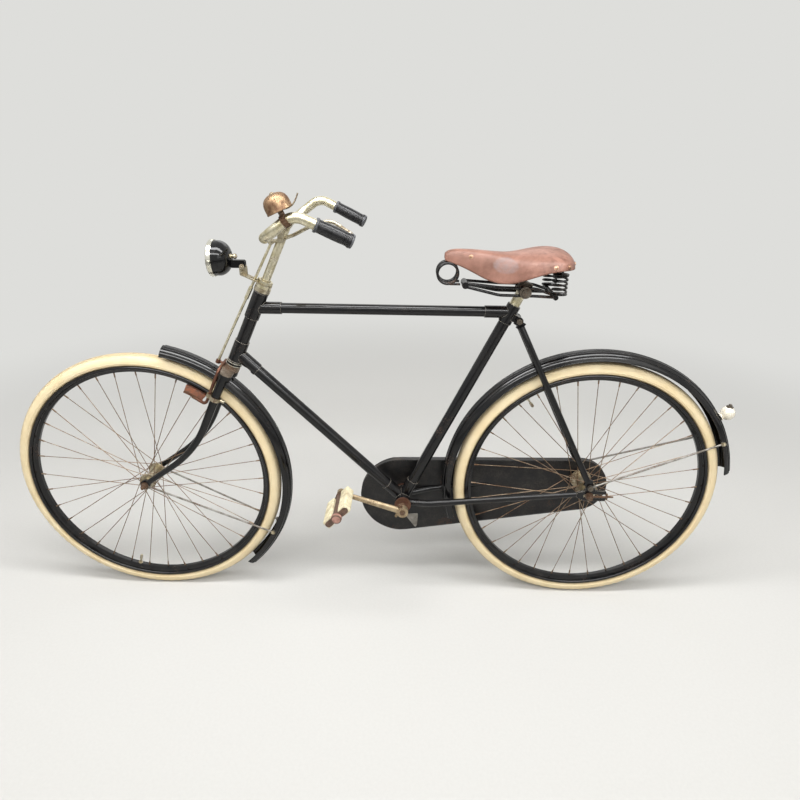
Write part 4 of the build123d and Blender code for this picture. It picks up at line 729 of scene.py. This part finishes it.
# Rows along a block: how far each is from the bicycle's middle, and how far its outline is drawn in.
block_rows = [(block_start, 2.0), (block_start + 0.6, 0.6)]
for ridge in range(11):
    start = ridge_start + ridge * ridge_pitch
    end = start + ridge_width
    block_rows += [(start, 0.0), (end, 0.0), (end + 0.5, groove_depth), (end + 2.0, groove_depth)]
block_rows = block_rows[:-2] + [(block_end - 0.6, 0.6), (block_end, 2.0)]
for side, name in ((1, "left_pedal"), (-1, "right_pedal")):
    blocks = bmesh.new()
    for offset in (-block_offset, block_offset):
        rings = []
        for left, inset in block_rows:
            ring = []
            for corner in range(4):
                for step in range(4):
                    turn = math.pi / 2 * (corner + step / 3)
                    wide = block_half_width if corner in (0, 3) else -block_half_width
                    high = block_half_height if corner in (0, 1) else -block_half_height
                    wide += (block_corner - inset) * math.cos(turn)
                    high += (block_corner - inset) * math.sin(turn)
                    out = block_ahead * (offset + wide) + block_up * high
                    ring.append(blocks.verts.new(spindle(side, side * left) + out / 1000))
            rings.append(ring)
        for near, far in zip(rings, rings[1:]):
            for step in range(len(near)):
                after = (step + 1) % len(near)
                blocks.faces.new((near[step], near[after], far[after], far[step]))
        blocks.faces.new(rings[0])
        blocks.faces.new(rings[-1])
    bmesh.ops.recalc_face_normals(blocks, faces=blocks.faces)
    fit(f"{name}_rubbers", blocks, pedal_rubber, name, "pedal_rubber", f"{name}_blocks")
pedal_steel = moulded("brown pedal steel", "#6f5546", "#46362c", rough=0.5, patch=11.11)
finish(pedal_steel, "left_pedal_frame", "right_pedal_frame")

# Pedal caps: pressed steel cups with rounded shoulders, pushed over the ends of the spindles. Their
# red lacquer has faded to a dull dusty pink.
faded_cap = moulded("faded pink cap", "#b58a7c", "#8a6356", rough=0.55, patch=12.5)
cap_left = 181.6
cap_profile = ((0, 0.2), (13.4, 0.2), (13.6, 1.0), (13.3, 5.6), (11.9, 8.2), (9.4, 9.3), (4.0, 9.7),
               (3.4, 9.2), (0, 9.2))
for side, name in ((1, "left_pedal"), (-1, "right_pedal")):
    cap = bmesh.new()
    turned(cap, cap_profile, spindle(side, side * cap_left), (0, side, 0))
    fit(f"{name}_cap", cap, faded_cap, name, "steel")

# Grips: hard black plastic with a grey collar and end, slipped on the bar's ends. Raised bands at
# both ends and three turned grooves near the tip keep the hand from sliding.
grip_black = moulded("black grip plastic", "#050507", "#151417", rough=0.24, patch=11.11)
grip_grey = moulded("grey grip collar", "#55565a", "#303034", rough=0.35, patch=11.11)
grip_profile = (
    (11.35, -72), (14.2, -72), (13.7, -70), (13.9, -60), (14.3, -48), (14.5, -34), (14.4, -22), (14.2, -16),
    (13.3, -15.6), (13.3, -14.6), (14.2, -14.2), (14.2, -12), (13.3, -11.6), (13.3, -10.6), (14.2, -10.2),
    (14.3, -8), (13.3, -7.6), (13.3, -6.6), (14.4, -6.2), (14.8, -4), (15.6, -3), (15.7, 0), (15.4, 1.2),
    (13.2, 1.4),
)
grip_collar_profile = ((11.35, -78), (15.0, -78), (15.6, -77.3), (15.7, -74), (15.2, -72.4), (13.6, -72),
                       (11.35, -72))
grip_end_profile = ((13.2, 1.2), (15.2, 1.3), (15.3, 3.4), (14.3, 5.2), (12.0, 5.9), (0, 6.0))
bar_centre = steered(6.0, 0, 738.0)
for side, name, replaced in ((1, "left", ("handle_grips",)), (-1, "right", ())):
    tip = bar_centre + Vector((-167.0, side * 170.0, -11.0)) / 1000
    along = Vector((-111.0, side * -19.0, -52.0)).normalized()
    grip = bmesh.new()
    turned(grip, grip_profile, tip, along, steps=40)
    fit(f"{name}_grip_body", grip, grip_black, "steering", "grip", *replaced)
    ends = bmesh.new()
    turned(ends, grip_collar_profile, tip, along, steps=40)
    turned(ends, grip_end_profile, tip, along, steps=40)
    fit(f"{name}_grip_ends", ends, grip_grey, "steering", "grip")

# Brake blocks: red brown rubber, moulded to fit under the rim and slid into the stirrup's shoes. It
# is dull, hardened and dusted grey by what the rim rubs off.
brake_rubber = moulded("brown brake rubber", "#9a5d40", "#574a42", rough=0.8, patch=12.5)
finish(brake_rubber, "brake_blocks")

# Bell: a spun brass dome that has gone brown in clouds, held by a domed cap nut. A thumb lever of
# bent steel wire comes out below its rear edge. Their places are measured from the rider's point.
bell_clip = Vector((542.3, 189.0, 71.7)) / 1000
bell_lean = math.radians(25.0)
bell_up = Vector((math.sin(bell_lean), 0, math.cos(bell_lean)))
dome_profile = (
    (0, 55.2), (5, 55.0), (11.2, 53.9), (17.4, 51.0), (22.2, 46.4), (24.9, 40.6), (25.9, 34), (26.0, 21),
    (26.8, 20.4), (27.4, 21.2), (27.4, 22.6), (26.9, 23.4), (27.0, 34), (25.9, 41), (23.1, 47.4),
    (18.1, 52.1), (11.5, 55.0), (5, 56.1), (0, 56.3),
)
dome = bmesh.new()
turned(dome, dome_profile, bell_clip, bell_up, steps=48)
bell_brass = nickel("brown brass", "#ab8f70", "#65493a", worn=0.42, rust=0.4)
fit("bell_brass_dome", dome, bell_brass, "steering", "bell_brass", "bell_dome")
cap_nut = bmesh.new()
turned(cap_nut, ((5.6, 55.8), (5.6, 56.6), (4.2, 56.8), (3.8, 58.0), (2.3, 59.0), (0, 59.4)), bell_clip,
       bell_up, steps=24)
fit("bell_cap_nut", cap_nut, small_nickel, "steering", "nickel")
lever_radius = 1.5
lever_route = ((549, 189, 93.5), (537, 189, 95), (526, 189, 102), (519, 189, 113), (514.5, 189, 125))
thumb_lever = [Vector(point) / 1000 for point in lever_route]
bent("bell_lever", [thumb_lever], lever_radius, small_nickel, "steering")

# Lamp: a spun shell in gloss black enamel with a bright rim, a silvered reflector and its bulb behind
# a clear glass, and a sprung terminal screw on its back.
lamp_enamel = enamel("lamp enamel", dust=0.12, chips=0.2, gloss=0.1)
finish(lamp_enamel, "lamp_shell")
finish(bright_plate, "lamp_rim")
lamp_rear = steered(92.8, 0, 610.0)
reflector_profile = ((38.2, 40.6), (37.9, 39.4), (34.0, 30.5), (27.0, 21.5), (18.0, 14.5), (9.0, 10.6),
                     (6.0, 10.0))
reflector = bmesh.new()
turned(reflector, reflector_profile, lamp_rear, (1, 0, 0), steps=48)
fit("lamp_reflector", reflector, bright_plate, "steering", "nickel")
bulb_profile = ((4.6, 9.0), (4.6, 16.0), (6.6, 19.5), (7.4, 23.0), (6.4, 27.0), (3.6, 29.4), (0, 30.2))
bulb = bmesh.new()
turned(bulb, bulb_profile, lamp_rear, (1, 0, 0), steps=24)
bulb_glass = moulded("white bulb glass", "#ecece6", "#d8d8cf", rough=0.2, patch=16.67)
fit("lamp_bulb", bulb, bulb_glass, "steering", "lamp_glass")
terminal_profile = (
    (0, -0.2), (7.0, -0.2), (7.0, 1.2), (4.4, 1.2), (4.4, 2.2), (5.8, 2.8), (4.4, 3.4), (4.4, 4.4),
    (5.8, 5.0), (4.4, 5.6), (4.4, 6.6), (5.8, 7.2), (4.4, 7.8), (4.4, 8.6), (6.2, 8.8), (6.2, 12.6),
    (5.2, 13.4), (2.2, 13.6), (2.2, 15.4), (0, 15.8),
)
terminal_foot = lamp_rear + Vector((0, 0, 4.5)) / 1000
terminal = bmesh.new()
turned(terminal, terminal_profile, terminal_foot, (-1, 0, 0), steps=24)
fit("lamp_terminal", terminal, small_nickel, "steering", "nickel")

# Its glass is pressed, clear and glossy, and a film of dirt in patches 8 mm apart dulls it a little.
glass, tree = empty_material("lamp glass")
place = add(tree, "ShaderNodeTexCoord").outputs["Object"]
haze = add(tree, "ShaderNodeTexNoise", {"Vector": place, "Scale": spaced(8.333), "Detail": 5.0})
rough = add(tree, "ShaderNodeMapRange", {"Value": haze.outputs[0], "To Min": 0.02, "To Max": 0.14})
shader = add(tree, "ShaderNodeBsdfPrincipled", {
    "Base Color": tone("#f2f4f0"), "Roughness": rough.outputs[0], "Transmission Weight": 0.9, "IOR": 1.5,
})
add(tree, "ShaderNodeOutputMaterial", {"Surface": shader.outputs[0]})
finish(glass, "lamp_glass")

# Tail lamp: a ball of cream opal glass on a short foot that is clamped to the rear mudguard, with a
# dark steel collar and its screw knob on top.
ball_radius = 18.0
tail_place = bicycle(-341.4, 0, 573.5)
tail_out = (tail_place - bicycle(0, 0, axle_height)).normalized()
tail_up = Vector((-0.12, 0, 1)).normalized()
ball_turns = [math.radians(-84 + 12 * step) for step in range(13)]
ball_profile = [(ball_radius * math.cos(turn), ball_radius * math.sin(turn)) for turn in ball_turns]
opal = bmesh.new()
turned(opal, [(0, -ball_radius)] + ball_profile + [(7.0, 16.6)], tail_place, tail_up, steps=40)
turned(opal, ((11.0, -20.0), (11.0, -18.6), (8.5, -17.6), (7.6, -14.0)), tail_place, tail_out)
opal_glass = moulded("cream opal glass", "#efe9da", "#cdc3ad", rough=0.18, patch=14.29)
fit("tail_lamp_ball", opal, opal_glass, "frame", "tail_glass", "tail_lamp")
collar_profile = ((7.0, 15.6), (8.6, 16.0), (8.6, 18.6), (7.8, 19.4), (4.0, 19.6))
knob_profile = ((4.0, 19.4), (3.4, 20.2), (3.4, 21.0), (4.4, 21.6), (4.4, 23.6), (3.2, 24.6), (0, 24.8))
collar = bmesh.new()
turned(collar, collar_profile, tail_place, tail_up, steps=24)
turned(collar, knob_profile, tail_place, tail_up, steps=24)
fit("tail_lamp_collar", collar, dull_steel, "frame", "nickel")

# Saddle springs and frame: steel wire and rods, coiled and bent cold and hooked together, in black
# enamel that has gone dull and rusts where the wires rub.
spring_enamel = enamel("spring enamel", dust=0.4, chips=0.8, gloss=0.24)
finish(spring_enamel, "saddle_frame", "saddle_springs")

# Saddle leather: one thick hide, wet formed over a mould and riveted at the nose and the cantle. It
# is tan with darker clouds, scuffed dark towards the cantle and worn to a pale oval on each flank.
hide, tree = empty_material("tan saddle hide")
place = add(tree, "ShaderNodeTexCoord").outputs["Object"]
parts = add(tree, "ShaderNodeSeparateXYZ", {0: place})

# The tan clouds lie 56 mm apart. Scuffs lie 13 mm apart and thicken from 60 mm ahead of the rider's
# point to 70 mm behind it.
patches = add(tree, "ShaderNodeTexNoise", {
    "Vector": place, "Scale": spaced(55.56), "Detail": 7.0, "Roughness": 0.6,
})
clear = add(tree, "ShaderNodeMapRange", {"Value": patches.outputs[0], "From Min": 0.35, "From Max": 0.68})
tan = add(tree, "ShaderNodeMix", {0: clear.outputs[0], 6: tone("#93695a"), 7: tone("#694536")},
          data_type="RGBA")
scuffs = add(tree, "ShaderNodeTexNoise", {
    "Vector": place, "Scale": spaced(13.33), "Detail": 6.0, "Roughness": 0.75,
})
rearward = add(tree, "ShaderNodeMapRange", {
    "Value": parts.outputs["X"], "From Min": 0.06, "From Max": -0.07,
})
scuffed = add(tree, "ShaderNodeMapRange", {"Value": scuffs.outputs[0], "From Min": 0.5, "From Max": 0.66})
scuffed = add(tree, "ShaderNodeMath", {0: scuffed.outputs[0], 1: rearward.outputs[0]}, operation="MULTIPLY")
scuffed = add(tree, "ShaderNodeMix", {0: scuffed.outputs[0], 6: tan.outputs[2], 7: tone("#572f21")},
              data_type="RGBA")

# The oval is rubbed pale with a broken edge, and reaches 26 mm ahead and behind and 17 mm up and down.
# How far a place lies sideways doesn't count, so it shows on both flanks.
oval_place = Vector((0.075, 0.0, -0.037))
oval_stretch = (1 / 0.026, 0.0, 1 / 0.017)
oval = add(tree, "ShaderNodeVectorMath", {0: place, 1: oval_place}, operation="SUBTRACT")
oval = add(tree, "ShaderNodeVectorMath", {0: oval.outputs[0], 1: oval_stretch}, operation="MULTIPLY")
oval = add(tree, "ShaderNodeVectorMath", {0: oval.outputs[0]}, operation="LENGTH")
worn = add(tree, "ShaderNodeMapRange", {
    "Value": oval.outputs["Value"], "From Min": 1.12, "From Max": 0.9, "To Max": 0.5,
})
broken = add(tree, "ShaderNodeMapRange", {
    "Value": scuffs.outputs[0], "From Min": 0.35, "From Max": 0.6, "To Min": 0.35,
})
worn = add(tree, "ShaderNodeMath", {0: worn.outputs[0], 1: broken.outputs[0]}, operation="MULTIPLY")
colour = add(tree, "ShaderNodeMix", {0: worn.outputs[0], 6: scuffed.outputs[2], 7: tone("#847b7c")},
             data_type="RGBA")

# The pores are drawn 1.6 mm apart, about three times as far as real ones, so that they show.
grain = add(tree, "ShaderNodeTexVoronoi", {"Vector": place, "Scale": spaced(1.613)})
height = add(tree, "ShaderNodeMath", {0: grain.outputs[0], 1: scuffs.outputs[0]}, operation="ADD")
relief = add(tree, "ShaderNodeBump", {"Height": height.outputs[0], "Strength": 0.3, "Distance": 0.0004})
rough = add(tree, "ShaderNodeMapRange", {"Value": patches.outputs[0], "To Min": 0.32, "To Max": 0.58})
shader = add(tree, "ShaderNodeBsdfPrincipled", {
    "Base Color": colour.outputs[2], "Roughness": rough.outputs[0], "Normal": relief.outputs[0],
})
add(tree, "ShaderNodeOutputMaterial", {"Surface": shader.outputs[0]})

# Rows of the hide from nose to cantle: how far ahead it lies and how high its middle is, then how
# far out and up its top's edge, shoulder, flank and hem are, in millimetres from the rider's point.
hide_rows = (
    (213.0, -17.0, 5.0, -18.5, 9.0, -21.0, 11.0, -27.0, 12.0, -33.0),
    (206.0, -10.0, 8.0, -11.5, 13.0, -15.0, 16.0, -24.0, 17.0, -35.0),
    (188.0, -6.0, 9.0, -7.5, 15.0, -12.0, 19.0, -24.0, 22.0, -38.0),
    (145.0, -7.0, 11.0, -8.5, 19.0, -14.0, 25.0, -33.0, 29.0, -57.0),
    (110.0, -10.0, 14.0, -12.0, 25.0, -19.0, 32.0, -45.0, 38.0, -76.0),
    (72.0, -13.0, 21.0, -15.0, 37.0, -23.0, 46.0, -50.0, 53.0, -79.0),
    (50.0, -11.0, 29.0, -13.5, 50.0, -22.0, 60.0, -45.0, 66.0, -72.0),
    (25.0, -7.0, 40.0, -10.0, 66.0, -21.0, 75.0, -39.0, 80.0, -60.0),
    (0.0, -2.5, 50.0, -6.0, 79.0, -17.0, 89.0, -31.0, 93.0, -48.0),
    (-25.0, 0.5, 56.0, -4.0, 88.0, -15.0, 98.0, -26.0, 102.0, -39.0),
    (-50.0, -0.5, 56.0, -5.0, 87.0, -16.0, 96.0, -26.0, 99.0, -36.5),
    (-69.0, -7.0, 46.0, -11.0, 70.0, -20.0, 79.0, -29.0, 82.0, -38.0),
    (-80.0, -18.0, 32.0, -20.0, 46.0, -26.0, 53.0, -33.0, 55.0, -40.0),
    (-84.0, -30.0, 22.0, -31.0, 32.0, -34.0, 36.0, -38.0, 38.0, -43.0),
)
hide_thickness = 4.5
hide_mesh = bmesh.new()
grid = []
for ahead, crown, *edges in hide_rows:
    half = list(zip(edges[0::2], edges[1::2]))
    row = [(-out, up) for out, up in reversed(half)] + [(0.0, crown)] + half
    grid.append([hide_mesh.verts.new((ahead / 1000, out / 1000, up / 1000)) for out, up in row])
for near, far in zip(grid, grid[1:]):
    for column in range(len(near) - 1):
        hide_mesh.faces.new((near[column], near[column + 1], far[column + 1], far[column]))
hide_mesh.normal_update()
leather_mesh = bpy.data.meshes.new("leather")
hide_mesh.to_mesh(leather_mesh)
hide_mesh.free()
for face in leather_mesh.polygons:
    face.use_smooth = True
leather_mesh.materials.append(hide)
leather = bpy.data.objects.new("leather_top", leather_mesh)
scene.collection.objects.link(leather)
curve = leather.modifiers.new("formed", "SUBSURF")
curve.levels = curve.render_levels = 2
skin = leather.modifiers.new("thickness", "SOLIDIFY")
skin.thickness = hide_thickness / 1000
skin.offset = -1.0
soft = leather.modifiers.new("rounded", "SUBSURF")
soft.levels = soft.render_levels = 1
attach(leather, "frame")
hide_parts("saddle_leather")

# Saddle rivets: copper alloy, hammered over washers, one through each side of the nose and six
# round the cantle. Each is set on the hide along its surface's normal.
rivet_profile = ((5.2, -1.5), (5.2, 0.5), (4.8, 0.8), (4.0, 0.8), (3.8, 1.5), (2.4, 2.5), (0, 2.8))
formed = leather.evaluated_get(bpy.context.evaluated_depsgraph_get())
surface = BVHTree.FromPolygons([vertex.co for vertex in formed.data.vertices],
                               [face.vertices for face in formed.data.polygons])
under_hide = Vector((0, 0, -60.0))
rivets = bmesh.new()
for ahead, left, above in (
    (153.0, 26.0, -19.7), (-26.3, 103.0, -27.0), (-62.0, 92.0, -27.0), (-86.0, 30.0, -33.0),
):
    for side in (1, -1):
        spot = Vector((ahead, side * left, above))
        place, normal, _, _ = surface.find_nearest(spot / 1000)
        if normal.dot(spot - under_hide) < 0:
            normal = -normal
        turned(rivets, rivet_profile, place, normal, steps=24)
rivet_copper = nickel("rivet copper", "#b9977f", "#8b6a55", worn=0.35, rust=0.4)
fit("saddle_rivets", rivets, rivet_copper, "frame", "saddle_leather")
